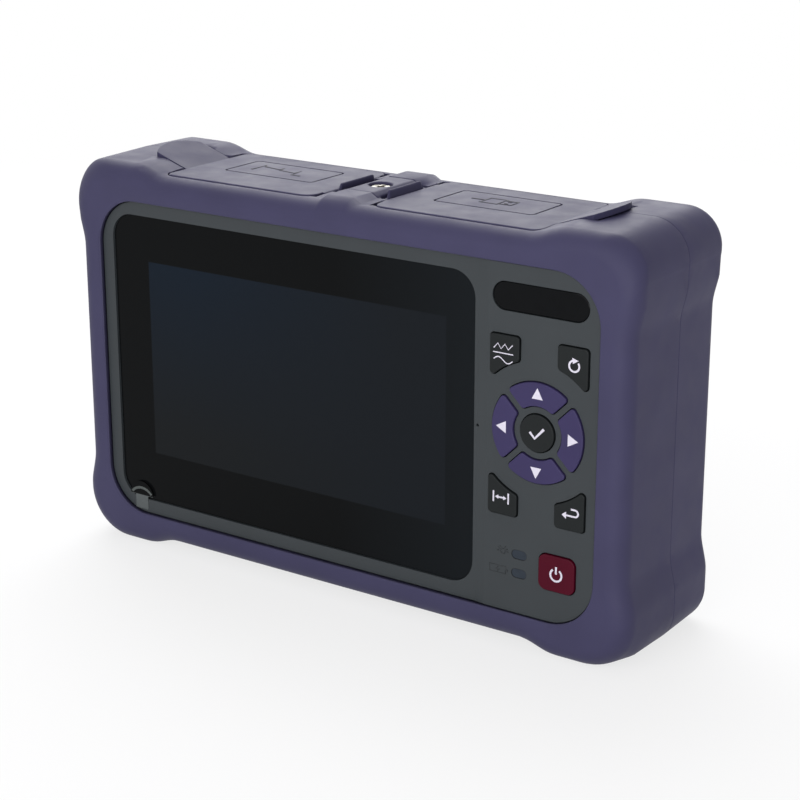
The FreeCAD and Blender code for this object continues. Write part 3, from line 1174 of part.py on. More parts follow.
def make_retainer_insert():
    insert = rod_z(0, 0, INSERT_R, SHELL_TOP_Z - INSERT_LENGTH, SHELL_TOP_Z)
    return insert.cut(rod_z(0, 0, RETAINER_SCREW_R + SCREW_FIT, SHELL_TOP_Z - INSERT_LENGTH,
                            SHELL_TOP_Z))


# --- Display -----------------------------------------------------------------
def make_touch_glass():
    return plate_y(*glass_rect(0.0), GLASS_Y, GLASS_BACK_Y)


def make_glass_tape():
    return ring_y(glass_rect(GLASS_TAPE_GAP), lcd_rect(LCD_WINDOW_GAP + GLASS_TAPE_GAP),
                  GLASS_BACK_Y, GLASS_BACK_Y + GLASS_TAPE_T)


def active_rect(grow, radius):
    half_x, half_z = ACTIVE_WIDTH / 2 + grow, ACTIVE_HEIGHT / 2 + grow
    return (ACTIVE_CENTRE_X - half_x, ACTIVE_CENTRE_X + half_x, ACTIVE_CENTRE_Z - half_z,
            ACTIVE_CENTRE_Z + half_z, radius)


def make_lcd_foam():
    return ring_y(lcd_rect(0.0), active_rect(LCD_FOAM_GAP, LCD_CORNER_R), GLASS_BACK_Y, LCD_Y)


def make_lcd_module():
    return plate_y(*lcd_rect(0.0), LCD_Y, LCD_BACK_Y)


def make_lcd_bracket():
    plate = plate_y(*lcd_rect(BRACKET_MARGIN), LCD_BACK_Y, BRACKET_BACK_Y)
    window = plate_y(*active_rect(-BRACKET_RAIL, BRACKET_CORNER_R), LCD_BACK_Y, BRACKET_BACK_Y)
    holes = screw_holes_y(bracket_boss_places(), SMALL_SCREW_R + HEAD_FIT, LCD_BACK_Y,
                          BRACKET_BACK_Y)
    return plate.cut([window, holes])


def make_film_tab():
    """Pull tab of the screen's film: a half-round head over the glass's edge, and a stalk."""
    x, face = FILM_TAB_X, PANEL_Y - FILM_T
    low = GLASS_LOW_Z + FILM_HEAD_LIFT
    head = rod_y(x, low, FILM_HEAD_HALF_WIDTH, face, PANEL_Y)
    head = head.common(box(x - FILM_HEAD_HALF_WIDTH, x + FILM_HEAD_HALF_WIDTH, face, PANEL_Y,
                           low, low + FILM_HEAD_HALF_WIDTH))
    stalk = box(x - FILM_STALK_HALF_WIDTH, x + FILM_STALK_HALF_WIDTH, face, PANEL_Y,
                GLASS_LOW_Z - FILM_TAB_REACH, low + FILM_T)
    return head.fuse(stalk).removeSplitter()


# --- Keypad ------------------------------------------------------------------
def keyboard_outline(y0, y1):
    plate = plate_y(GLASS_RIGHT_X + KEYBOARD_GLASS_GAP, CAVITY_HALF_X - KEYBOARD_SIDE_GAP,
                    CAVITY_LOW_Z + KEYBOARD_LOW_GAP, CAVITY_TOP_Z - KEYBOARD_TOP_GAP,
                    KEYBOARD_CORNER_R, y0, y1)
    notches = screw_holes_y(post_places(), POST_R + POST_GAP, y0, y1)
    return plate.cut([notches, board_ledge(LEDGE_GAP)])


def make_keypad_mat():
    mat = keyboard_outline(KEYBOARD_Y - MAT_T, KEYBOARD_Y)
    cuts = [screw_holes_y(key_centres(), DOME_R + MAT_GAP, KEYBOARD_Y - MAT_T, KEYBOARD_Y),
            screw_holes_y(keyboard_boss_places(), KEYBOARD_BOSS_R + BOARD_POST_GAP, KEYBOARD_Y - MAT_T,
                          KEYBOARD_Y)]
    cuts += [plate_y(*led_rect(z, MAT_GAP), KEYBOARD_Y - MAT_T, KEYBOARD_Y) for z in LED_ZS]
    return mat.cut(cuts)


def make_keypad_board():
    return keyboard_outline(KEYBOARD_Y, KEYBOARD_BACK_Y).cut(screw_holes_y(
        keyboard_boss_places(), SMALL_SCREW_R + HEAD_FIT, KEYBOARD_Y, KEYBOARD_BACK_Y))


def make_snap_domes():
    domes = []
    for x, z in key_centres():
        dome = Part.makeCone(DOME_TOP_R, DOME_R, DOME_HEIGHT)
        dome.rotate(Vector(0, 0, 0), Vector(1, 0, 0), -90)
        dome.translate(Vector(x, DOME_TOP_Y, z))
        domes.append(dome)
    return Part.makeCompound(domes)


def make_light_pipes():
    face = PAD_Y + LED_SINK
    return Part.makeCompound([plate_y(*led_rect(z, 0.0), face, KEYBOARD_Y) for z in LED_ZS])


def make_badge_plate():
    face = PAD_Y + BADGE_SINK
    plate = plate_y(*badge_rect(0.0), face, face + BADGE_T)
    return plate.makeFillet(BADGE_T / 2, edges_where(plate, lambda e: lies_in_y(e, face)))


# --- Boards, optics and power ------------------------------------------------
def make_main_board():
    half_x = CAVITY_HALF_X - BOARD_EDGE_GAP
    corner_r = SHELL_CORNER_R - SHELL_WALL - BOARD_EDGE_GAP
    board = plate_y(-half_x, half_x, CAVITY_LOW_Z + BOARD_EDGE_GAP, MAIN_BOARD_TOP_Z, corner_r,
                    MAIN_BOARD_FRONT_Y, MAIN_BOARD_BACK_Y)
    low_posts = [(x, z) for x, z in post_places() if z < LEDGE_Z]
    return board.cut([screw_holes_y(low_posts, POST_NECK_R + BOARD_POST_GAP, MAIN_BOARD_FRONT_Y,
                                    MAIN_BOARD_BACK_Y),
                      screw_holes_y(ledge_screw_places(), SMALL_SCREW_R + HEAD_FIT,
                                    MAIN_BOARD_FRONT_Y, MAIN_BOARD_BACK_Y)])


def make_optical_engine():
    """Sealed box that holds the laser, the splitter and the detector, with slots in its lid."""
    x0, z0 = ENGINE_LEFT_X, ENGINE_LOW_Z
    x1, z1 = x0 + ENGINE_WIDTH, z0 + ENGINE_HEIGHT
    back = MAIN_BOARD_BACK_Y + ENGINE_T
    body = plate_y(x0, x1, z0, z1, ENGINE_R, MAIN_BOARD_BACK_Y, back)
    first = (x0 + x1 - (ENGINE_SLOTS - 1) * ENGINE_SLOT_PITCH - ENGINE_SLOT_WIDTH) / 2
    starts = [first + i * ENGINE_SLOT_PITCH for i in range(ENGINE_SLOTS)]
    return body.cut([box(x, x + ENGINE_SLOT_WIDTH, back - ENGINE_SLOT_DEPTH, back,
                         z0 + ENGINE_SLOT_END, z1 - ENGINE_SLOT_END) for x in starts])


def make_processor_shield():
    x0 = SHIELD_MIDDLE_X - SHIELD_SIZE / 2
    return plate_y(x0, x0 + SHIELD_SIZE, SHIELD_LOW_Z, SHIELD_LOW_Z + SHIELD_SIZE, SHIELD_R,
                   MAIN_BOARD_BACK_Y, MAIN_BOARD_BACK_Y + SHIELD_T)


def make_buzzer():
    back = MAIN_BOARD_BACK_Y + BUZZER_T
    buzzer = rod_y(BUZZER_X, BUZZER_Z, BUZZER_R, MAIN_BOARD_BACK_Y, back)
    return buzzer.cut(rod_y(BUZZER_X, BUZZER_Z, BUZZER_HOLE_R, back - BUZZER_HOLE_R, back))


# --- Screws ------------------------------------------------------------------
def small_screws(places, seat_y, length):
    return Part.makeCompound([screw_back(x, z, seat_y, SMALL_SCREW_R, length, SMALL_HEAD_R,
                                         SMALL_HEAD_T) for x, z in places])


def make_case_screws():
    return Part.makeCompound([screw_back(x, z, CASE_HEAD_SEAT_Y, CASE_SCREW_R, CASE_SCREW_LENGTH,
                                         CASE_HEAD_R, CASE_HEAD_T) for x, z in post_places()])


def make_port_screws():
    seat = OPTICAL_FLOOR_Z + PORT_FLANGE_T
    screws = []
    for x, y in port_screw_places():
        screw = screw_up(SMALL_SCREW_R, PORT_SCREW_LENGTH, PORT_SCREW_HEAD_R, PORT_SCREW_HEAD_T)
        screw.translate(Vector(x, y, seat))
        screws.append(screw)
    return Part.makeCompound(screws)


def make_port_board_screws():
    screws = []
    for x, y in port_board_screw_places():
        screw = screw_up(SMALL_SCREW_R, PORT_BOARD_SCREW_LENGTH, SMALL_HEAD_R, SMALL_HEAD_T)
        screw.rotate(Vector(0, 0, 0), Vector(1, 0, 0), 180)
        screw.translate(Vector(x, y, PORT_BOARD_Z - PORT_BOARD_T))
        screws.append(screw)
    return Part.makeCompound(screws)


def build():
    flap = make_flap()
    pieces = {
        "front_shell": make_front_shell(),
        "front_bumper": make_front_bumper(),
        "rear_shell": make_rear_shell(),
        "rear_bumper": make_rear_bumper(),
        "housing_seal": make_housing_seal(),
        "case_screws": make_case_screws(),
        "optical_port_well": make_optical_port_well(),
        "usb_port_well": make_usb_port_well(),
        "optical_port_flap": mirrored(flap),
        "usb_port_flap": flap,
        "flap_retainer": make_flap_retainer(),
        "retainer_screw": make_retainer_screw(),
        "retainer_insert": make_retainer_insert(),
        "otdr_port": make_optical_port(OPTICAL_PORT_XS[0]),
        "fault_locator_port": make_optical_port(OPTICAL_PORT_XS[1]),
        "optical_port_screws": make_port_screws(),
        "usb_a_socket": make_socket(USB_A_X, USB_A_WIDTH, USB_A_DEPTH, USB_A_CONTACT_T,
                                    USB_A_CONTACT_OFFSET),
        "micro_usb_socket": make_socket(MICRO_USB_X, MICRO_USB_WIDTH, MICRO_USB_DEPTH,
                                        MICRO_USB_CONTACT_T, MICRO_USB_CONTACT_OFFSET),
        "port_board": make_port_board(),
        "port_board_screws": make_port_board_screws(),
        "touch_glass": make_touch_glass(),
        "glass_tape": make_glass_tape(),
        "lcd_foam_gasket": make_lcd_foam(),
        "lcd_module": make_lcd_module(),
        "lcd_bracket": make_lcd_bracket(),
        "bracket_screws": small_screws(bracket_boss_places(), BRACKET_BACK_Y, PANEL_SCREW_LENGTH),
        "screen_film_tab": make_film_tab(),
        "keypad_mat": make_keypad_mat(),
        "snap_domes": make_snap_domes(),
        "keypad_board": make_keypad_board(),
        "keypad_board_screws": small_screws(keyboard_boss_places(), KEYBOARD_BACK_Y,
                                            PANEL_SCREW_LENGTH),
        "light_pipes": make_light_pipes(),
        "badge_plate": make_badge_plate(),
        "main_board": make_main_board(),
        "main_board_screws": small_screws(ledge_screw_places(), MAIN_BOARD_BACK_Y,
                                          BOARD_SCREW_LENGTH),
        "optical_engine": make_optical_engine(),
        "processor_shield": make_processor_shield(),
        "buzzer": make_buzzer(),
        "battery_pack": make_battery_pack(),
        "battery_door": make_battery_door(),
        "battery_door_screws": small_screws(door_screw_places(), BACK_FIELD_Y - SMALL_HEAD_T,
                                            DOOR_SCREW_LENGTH),
        "kickstand": make_kickstand(),
    }
    for name in KEY_SHAPES:
        pieces[name] = make_key(name)
    return pieces


os.makedirs("parts", exist_ok=True)
for node, shape in build().items():
    shape.exportStep(os.path.join("parts", node + ".step"))
    print(node, len(shape.Solids), round(shape.Volume, 1), shape.isValid())
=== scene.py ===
"""Handheld optical time domain reflectometer: finishes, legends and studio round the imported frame.

Metres, in the frame's own axes: +X right, +Y from the screen to the back, +Z up. Legends are drawn in
millimetres, round a point on the face that carries them.
"""
import json
import math

import bmesh
import bpy
from mathutils import Matrix, Vector


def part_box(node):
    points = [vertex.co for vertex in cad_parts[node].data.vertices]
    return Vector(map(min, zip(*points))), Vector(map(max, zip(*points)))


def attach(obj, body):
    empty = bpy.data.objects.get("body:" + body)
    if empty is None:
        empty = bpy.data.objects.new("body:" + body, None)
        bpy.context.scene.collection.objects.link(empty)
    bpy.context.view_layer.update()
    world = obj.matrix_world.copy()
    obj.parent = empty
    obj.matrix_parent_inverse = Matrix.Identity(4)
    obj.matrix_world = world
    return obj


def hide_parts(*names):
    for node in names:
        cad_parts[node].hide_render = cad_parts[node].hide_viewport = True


MM = 0.001
MICRON = 0.001 * MM
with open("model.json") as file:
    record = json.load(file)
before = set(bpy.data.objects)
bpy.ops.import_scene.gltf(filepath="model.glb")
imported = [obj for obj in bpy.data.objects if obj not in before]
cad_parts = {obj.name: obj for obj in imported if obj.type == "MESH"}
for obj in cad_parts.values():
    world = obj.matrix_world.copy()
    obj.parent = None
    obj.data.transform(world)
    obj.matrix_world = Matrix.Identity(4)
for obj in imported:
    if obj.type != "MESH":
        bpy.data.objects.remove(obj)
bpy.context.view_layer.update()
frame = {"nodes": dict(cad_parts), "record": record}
NODES = frame["nodes"]


def fresh_nodes(owner):
    """The nodes and links of a material's or world's emptied tree."""
    owner.use_nodes = True
    owner.node_tree.nodes.clear()
    return owner.node_tree.nodes, owner.node_tree.links


def new_object(name, data):
    obj = bpy.data.objects.new(name, data)
    bpy.context.scene.collection.objects.link(obj)
    return obj


# --- Materials -----------------------------------------------------------------------------------
BEVEL_SAMPLES = 6
WEAR_HIGHLIGHT_LIKENESS, PLAIN_LIKENESS = 0.8, 0.99  # how like the true normal the softened one is, between edges painted paler as wear and a painted highlight, and plain skin
MIX_LOW, MIX_HIGH, MIX_OUT = 6, 7, 2       # a mix node's colour sockets


class Finish:
    """A principled material whose colour, gloss and grain come from noise in object space."""

    def __init__(self, name, roughness, specular=0.22, metallic=0.0):
        self.material = bpy.data.materials.new(name)
        self.nodes, self.links = fresh_nodes(self.material)
        out = self.nodes.new("ShaderNodeOutputMaterial")
        self.shader = self.nodes.new("ShaderNodeBsdfPrincipled")
        self.links.new(self.shader.outputs[0], out.inputs[0])
        self.place = self.nodes.new("ShaderNodeTexCoord").outputs["Object"]
        self.shader.inputs["Roughness"].default_value = roughness
        self.shader.inputs["Specular IOR Level"].default_value = specular
        self.shader.inputs["Metallic"].default_value = metallic

    def math(self, operation, a, b):
        node = self.nodes.new("ShaderNodeMath")
        node.operation = operation
        for socket, value in zip(node.inputs, (a, b)):
            if isinstance(value, (int, float)):
                socket.default_value = value
            else:
                self.links.new(value, socket)
        return node.outputs[0]

    def noise(self, size, detail=3.0, stretch=(1, 1, 1)):
        """Noise whose features are about `size` metres across."""
        mapping = self.nodes.new("ShaderNodeMapping")
        mapping.inputs["Scale"].default_value = [k / size for k in stretch]
        self.links.new(self.place, mapping.inputs["Vector"])
        noise = self.nodes.new("ShaderNodeTexNoise")
        noise.inputs["Scale"].default_value = 1.0
        noise.inputs["Detail"].default_value = detail
        self.links.new(mapping.outputs[0], noise.inputs["Vector"])
        return noise.outputs["Fac"]

    def between(self, factor, low, high, start=0.3, end=0.7):
        """Numbers or colours that run from low to high as the factor does from start to end."""
        if isinstance(low, (int, float)):
            span = self.nodes.new("ShaderNodeMapRange")
            for socket, value in (("From Min", start), ("From Max", end),
                                  ("To Min", low), ("To Max", high)):
                span.inputs[socket].default_value = value
            self.links.new(factor, span.inputs["Value"])
            return span.outputs[0]
        ramp = self.nodes.new("ShaderNodeValToRGB")
        ramp.color_ramp.elements[0].position = start
        ramp.color_ramp.elements[1].position = end
        ramp.color_ramp.elements[0].color = (*low, 1)
        ramp.color_ramp.elements[1].color = (*high, 1)
        self.links.new(factor, ramp.inputs["Fac"])
        return ramp.outputs["Color"]

    def mix(self, factor, low, high):
        """Colour low where the factor is 0 and high where it is 1."""
        node = self.nodes.new("ShaderNodeMix")
        node.data_type = "RGBA"
        self.links.new(factor, node.inputs["Factor"])
        for socket, value in ((node.inputs[MIX_LOW], low), (node.inputs[MIX_HIGH], high)):
            if isinstance(value, list):
                socket.default_value = (*value, 1)
            else:
                self.links.new(value, socket)
        return node.outputs[MIX_OUT]

    def axis(self, name):
        split = self.nodes.new("ShaderNodeSeparateXYZ")
        self.links.new(self.place, split.inputs[0])
        return split.outputs[name]

    def inside(self, name, middle, half, soft):
        """1 within `half` of `middle` along an axis, 0 beyond it."""
        away = self.math("ABSOLUTE", self.math("SUBTRACT", self.axis(name), middle), 0.0)
        return self.between(away, 1.0, 0.0, half - soft, half + soft)

    def colour(self, base, spread=0.06, size=12 * MM):
        """Base colour with a soft tone that is uneven by a share of it."""
        tone = self.between(self.noise(size), shade(base, 1 - spread), shade(base, 1 + spread))
        self.links.new(tone, self.shader.inputs["Base Color"])
        return self

    def edges(self, radius, worn_and_lit):
        """Edges softened over `radius` metres, and painted there another colour: wear, and a painted
        highlight.
        """
        softened = self.nodes.new("ShaderNodeBevel")
        softened.samples = BEVEL_SAMPLES
        softened.inputs["Radius"].default_value = radius
        surface = self.nodes.new("ShaderNodeNewGeometry")
        likeness = self.nodes.new("ShaderNodeVectorMath")
        likeness.operation = "DOT_PRODUCT"
        self.links.new(softened.outputs[0], likeness.inputs[0])
        self.links.new(surface.outputs["Normal"], likeness.inputs[1])
        base = self.shader.inputs["Base Color"]
        # edges painted paler: partly wear, partly a painted highlight
        wear_and_highlight = self.between(likeness.outputs["Value"], 1.0, 0.0, WEAR_HIGHLIGHT_LIKENESS, PLAIN_LIKENESS)
        self.links.new(self.mix(wear_and_highlight, base.links[0].from_socket, worn_and_lit), base)
        self.links.new(softened.outputs[0], self.shader.inputs["Normal"])
        return self

    def gloss(self, low, high, size=6 * MM):
        """Roughness that wanders from low to high."""
        self.links.new(self.between(self.noise(size), low, high), self.shader.inputs["Roughness"])
        return self

    def grain(self, depth, size, detail=2.0, stretch=(1, 1, 1)):
        """Bumps `depth` metres high and `size` metres across, added to any bumps before them."""
        bump = self.nodes.new("ShaderNodeBump")
        bump.inputs["Strength"].default_value = 1.0
        bump.inputs["Distance"].default_value = depth
        self.links.new(self.noise(size, detail, stretch), bump.inputs["Height"])
        normal = self.shader.inputs["Normal"]
        if normal.links:
            self.links.new(normal.links[0].from_socket, bump.inputs["Normal"])
        self.links.new(bump.outputs[0], normal)
        return self


def srgb(r, g, b):
    """Linear colour of an 8-bit screen colour."""
    return [((v / 255 + 0.055) / 1.055) ** 2.4 if v > 10 else v / 255 / 12.92 for v in (r, g, b)]


def shade(colour, share):
    return [c * share for c in colour]


SKIN = srgb(58, 56, 81)
# paler colour for the skins' edges: wear, and a painted highlight along their lit lips
WEAR_AND_HIGHLIGHT_SKIN = srgb(96, 93, 116)
PANEL = srgb(48, 52, 55)
EDGE_RADIUS = 0.4 * MM
RUBBER_GRAIN = (6 * MICRON, 0.25 * MM)
RUBBER_RIPPLE = (20 * MICRON, 4 * MM)
FINE = 0.2 * MM  # grain of moulded plastic
METAL = {"specular": 0.5, "metallic": 1.0}

PICTURE_HALF_X, PICTURE_HALF_Z = 47.52 * MM, 26.93 * MM  # half the display's picture area
PICTURE_EDGE = 0.12 * MM
PICTURE_REFLECTION_RISE = (35 * MM, 85 * MM)    # heights between which a painted reflection turns the picture bluer
PICTURE_REFLECTION_FADE = (-45 * MM, 20 * MM)   # and where that painted reflection fades to plain, from left to right
BORDER_REFLECTION_RISE = (0.0, 40 * MM)         # where a painted reflection turns the black border paler, from left to right
FILM_FOLD = 4 * MM                   # above the tab's lower end
FILM_FOLD_HALF = 0.1 * MM
finishes = {}


# A finish reads: name, roughness, specular; colour, its spread, blotch size; the grain's depth and size.
def make_rubber():
    """The bumpers' skins, painted paler along their edges as wear and a painted highlight, and the
    flaps', which aren't.
    """
    # the back skin's 1.04 share is painted light: the rear half is drawn lighter as light from behind
    # falls on it
    for key, share, worn_and_lit in (("skin_front", 1.0, WEAR_AND_HIGHLIGHT_SKIN), ("skin_back", 1.04, WEAR_AND_HIGHLIGHT_SKIN),
                             ("skin_flap", 0.96, SKIN)):
        skin = Finish("rubber_" + key, 0.5, 0.1).colour(shade(SKIN, share), 0.05).gloss(0.44, 0.54)
        finishes[key] = skin.edges(EDGE_RADIUS, worn_and_lit).grain(*RUBBER_GRAIN).grain(*RUBBER_RIPPLE)
    # the engraved signs' strokes: the skin darkened to three tenths, as painted shade in their grooves
    engraving_shade = Finish("skin_mark", 0.5, 0.05).colour(shade(SKIN, 0.3), 0.05)
    finishes["skin_mark"] = engraving_shade.grain(*RUBBER_GRAIN)


def make_front_plastics():
    led = Finish("led_window", 0.3, 0.1).colour(srgb(43, 49, 57), 0.08, 1.5 * MM)
    # dark ring round each lamp window: painted shade at its recessed edge
    rim_ink = Finish("rim_shadow", 0.6).colour(srgb(24, 25, 28), 0.08, 2 * MM)
    badge = Finish("badge_resin", 0.1, 0.07).colour(srgb(9, 10, 12), 0.1, 3 * MM)
    finishes.update(
        panel=Finish("panel_plastic", 0.5).colour(PANEL, 0.04).gloss(0.45, 0.55).grain(5 * MICRON, FINE),
        panel_mark=Finish("panel_mark", 0.45).colour(shade(PANEL, 0.7), 0.04).grain(5 * MICRON, FINE),
        dark_key=Finish("dark_key", 0.48, 0.14).colour(srgb(22, 25, 26), 0.05).grain(3 * MICRON, FINE),
        arrow_key=Finish("arrow_key", 0.48, 0.18).colour(srgb(48, 42, 77), 0.05).grain(3 * MICRON, FINE),
        power_key=Finish("power_key", 0.42, 0.1).colour(srgb(66, 2, 23), 0.05).grain(3 * MICRON, FINE),
        legend=Finish("legend_ink", 0.5).colour(srgb(198, 194, 207), 0.02).grain(2 * MICRON, FINE),
        led=led.grain(2 * MICRON, 0.6 * MM),
        rim_ink=rim_ink.grain(4 * MICRON, 0.3 * MM),
        badge=badge.grain(1 * MICRON, 2 * MM))


def make_metals():
    steel = Finish("screw_steel", 0.3, **METAL).colour(srgb(190, 186, 176), 0.08, 2 * MM)
    brass = Finish("insert_brass", 0.35, **METAL).colour(srgb(196, 160, 96), 0.08, 2 * MM)
    nickel = Finish("port_nickel", 0.25, **METAL).colour(srgb(196, 196, 194), 0.05, 3 * MM)
    finishes.update(
        steel=steel.gloss(0.22, 0.38, 1 * MM).grain(4 * MICRON, 0.3 * MM, stretch=(1, 6, 1)),
        brass=brass.grain(6 * MICRON, 0.4 * MM),
        port_metal=nickel.grain(3 * MICRON, 0.4 * MM))


def make_inner_finishes():
    """What shows when a flap is open, and what lies inside the case."""
    seal = Finish("seal_rubber", 0.7).colour(srgb(22, 22, 23), 0.08, 4 * MM)
    board = Finish("board_mask", 0.35, 0.5).colour(srgb(28, 84, 52), 0.1, 3 * MM)
    wrap = Finish("battery_wrap", 0.35, 0.5).colour(srgb(60, 88, 136), 0.05)
    finishes.update(
        well=Finish("well_plastic", 0.5).colour(srgb(36, 37, 40), 0.06).grain(6 * MICRON, 0.3 * MM),
        seal=seal.grain(10 * MICRON, 0.4 * MM),
        board=board.grain(8 * MICRON, 1 * MM),
        mat=Finish("keypad_silicone", 0.6).colour(srgb(96, 96, 98), 0.04).grain(6 * MICRON, 0.4 * MM),
        wrap=wrap.grain(20 * MICRON, 3 * MM),
        display=Finish("display_panel", 0.2).colour(srgb(24, 26, 29), 0.1).grain(2 * MICRON, 0.5 * MM))


def make_glass():
    """Cover glass: a black printed border round a display that is switched off, with a painted reflection
    that turns the picture bluer higher up and on the left, and the border paler to the right.
    """
    glass = Finish("cover_glass", 0.06, 0.04)
    low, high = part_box("lcd_module")
    picture = glass.math(
        "MULTIPLY", glass.inside("X", (low[0] + high[0]) / 2, PICTURE_HALF_X, PICTURE_EDGE),
        glass.inside("Z", (low[2] + high[2]) / 2, PICTURE_HALF_Z, PICTURE_EDGE))
    # painted reflection: the picture bluer higher up and on the left, the printed border paler to the
    # right
    reflection_by_height = glass.between(glass.axis("Z"), srgb(23, 25, 27), srgb(19, 27, 37), *PICTURE_REFLECTION_RISE)
    picture_reflection = glass.mix(glass.between(glass.axis("X"), 0.0, 1.0, *PICTURE_REFLECTION_FADE), reflection_by_height, srgb(22, 25, 29))
    border_print_and_reflection = glass.between(glass.axis("X"), srgb(12, 13, 14), srgb(19, 22, 25), *BORDER_REFLECTION_RISE)
    glass.links.new(glass.mix(picture, border_print_and_reflection, picture_reflection), glass.shader.inputs["Base Color"])
    return glass.gloss(0.04, 0.07, 30 * MM).grain(0.4 * MICRON, 10 * MM)


def make_film():
    """Protective film: dark over the black glass, hazy where it folds down over the panel."""
    film = Finish("film_tab", 0.25, 0.04)
    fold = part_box("screen_film_tab")[0][2] + FILM_FOLD
    over_glass = film.between(film.axis("Z"), 0.0, 1.0, fold - FILM_FOLD_HALF, fold + FILM_FOLD_HALF)
    tone = film.mix(over_glass, srgb(81, 85, 86), srgb(11, 12, 13))
    film.links.new(tone, film.shader.inputs["Base Color"])
    return film.gloss(0.15, 0.3, 2 * MM).grain(3 * MICRON, 1 * MM)


def make_finishes():
    make_rubber()
    make_front_plastics()
    make_metals()
    make_inner_finishes()
    # the film rim's pale colour is a painted highlight on the film's lifted edge
    rim = Finish("film_edge", 0.3).colour(srgb(70, 75, 74), 0.05, 2 * MM).grain(3 * MICRON, 1 * MM)
    finishes.update(glass=make_glass(), film=make_film(), film_edge=rim)


SLOT_FINISH = {
    "skin_rubber": "skin_front", "panel_plastic": "panel", "seal_rubber": "seal", "steel": "steel",
    "well_plastic": "well", "brass": "brass", "port_metal": "port_metal", "board": "board",
    "cover_glass": "glass", "display": "display", "clear_film": "film", "keypad_silicone": "mat",
    "led_window": "led", "badge_gloss": "badge", "battery_wrap": "wrap", "dark_key": "dark_key",
    "arrow_key": "arrow_key", "power_key": "power_key",
}


def paint(obj, key):
    obj.data.materials.clear()
    obj.data.materials.append(finishes[key].material)


def paint_frame():
    for part in frame["record"]["subparts"]:
        paint(NODES[part["node"]], SLOT_FINISH[part["material_slot"]])
    for node in ("usb_port_flap", "optical_port_flap"):
        paint(NODES[node], "skin_flap")


# --- Rubber pieces redrawn from their solids -------------------------------------------------------
# The solids' own corner, back edge and draft, each with the one drawn here.
SOLID_CORNER, CORNER = 14.0 * MM, 9.8 * MM
SOLID_EDGE, BACK_EDGE = 5.0 * MM, 4.8 * MM
SOLID_DRAFT, BACK_DRAFT = 0.5 * MM, 0.35 * MM
SIDE_SWELL, TOP_SWELL = 1.7 * MM, 2.4 * MM     # corners proud of the plain sides
LOW_START, LOW_RUN = 2.0 * MM, 9.0 * MM        # depths over which the corners turn squarer
TOP_START, TOP_RUN = 0.0, 5.0 * MM
INNER_MARGIN = 0.1 * MM
SCREW_HEAD_R = 2.6 * MM
HOLE_KEEP, HOLE_BLEND = 3.6 * MM, 4.0 * MM     # the skin keeps its place round the case screws
WELD = 0.001 * MM
SHARP_ANGLE = math.radians(32)
RETAINER_VOXEL = 0.2 * MM
RETAINER_SMOOTHING = 36


def outward(u, v, half_u, half_v, corner):
    """Direction out of a rounded rectangle, and how far a point lies beyond its outline."""
    over_u, over_v = abs(u) - (half_u - corner), abs(v) - (half_v - corner)
    if over_u > 0 and over_v > 0:
        length = math.hypot(over_u, over_v)
        out, beyond = (over_u / length, over_v / length), length - corner
    else:
        out = (1.0, 0.0) if over_u > over_v else (0.0, 1.0)
        beyond = max(over_u, over_v) - corner
    return math.copysign(out[0], u), math.copysign(out[1], v), beyond


def clamped(share):
    return min(1.0, max(0.0, share))


def corner_reach(depth, upper):
    """How far a corner moves out at a depth behind the front edge."""
    start, run = (TOP_START, TOP_RUN) if upper else (LOW_START, LOW_RUN)
    return (SOLID_CORNER - CORNER) * clamped((depth - start) / run)


def case_screw_places():
    """X and heights of the case screws on the right, which are mirrored on the left."""
    low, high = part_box("case_screws")
    return high[0] - SCREW_HEAD_R, (low[2] + SCREW_HEAD_R, high[2] - SCREW_HEAD_R)


def reshape_bumper(vertices, node, back):
    """Makes the corners, and the back edge, a little squarer than the solid's."""
    low, high = (Vector(corner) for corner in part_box(node))
    front_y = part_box("front_bumper")[0][1]
    half_x = high.x - SIDE_SWELL
    top, bottom = high.z - TOP_SWELL, low.z
    middle_z, half_z = (top + bottom) / 2, (top - bottom) / 2
    screw_x, screw_zs = case_screw_places()
    for vertex in vertices:
        x, y, z = vertex.co
        out_x, out_z, beyond = outward(x, z - middle_z, half_x, half_z, SOLID_CORNER)
        to_screw = min(math.hypot(abs(x) - screw_x, z - screw_z) for screw_z in screw_zs)
        if beyond < -SOLID_EDGE - SOLID_DRAFT - INNER_MARGIN or to_screw < HOLE_KEEP:
            continue
        freedom = min(1.0, (to_screw - HOLE_KEEP) / HOLE_BLEND)
        if abs(out_x) > 0 and abs(out_z) > 0:
            reach = corner_reach(y - front_y, z > middle_z) * freedom
            vertex.co.x += math.copysign(reach * (1 - abs(out_x)), x)
            vertex.co.z += math.copysign(reach * (1 - abs(out_z)), z - middle_z)
        if back:
            turn = clamped((y - high.y + SOLID_EDGE) / SOLID_EDGE)
            move = (SOLID_EDGE - BACK_EDGE) * (1 - math.sqrt(1 - turn * turn))
            move += (SOLID_DRAFT - BACK_DRAFT) * (y - low.y) / (high.y - low.y)
            vertex.co.x += out_x * move * freedom
            vertex.co.z += out_z * move * freedom
            if turn > 0:
                vertex.co.y += (high.y - BACK_EDGE + BACK_EDGE * turn - y) * freedom
        vertex.co.z = max(vertex.co.z, low.z)


def make_bumper(node, name, finish, back):
    """A bumper of the node's shape, with squarer corners."""
    shape = bmesh.new()
    shape.from_mesh(NODES[node].data)
    bmesh.ops.remove_doubles(shape, verts=shape.verts, dist=WELD)
    reshape_bumper(shape.verts, node, back)
    data = bpy.data.meshes.new(name)
    shape.to_mesh(data)
    shape.free()
    data.polygons.foreach_set("use_smooth", [True] * len(data.polygons))
    data.set_sharp_from_angle(angle=SHARP_ANGLE)
    bumper = new_object(name, data)
    bumper.modifiers.new("weighted", "WEIGHTED_NORMAL").keep_sharp = True
    paint(bumper, finish)
    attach(bumper, "housing")
    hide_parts(node)


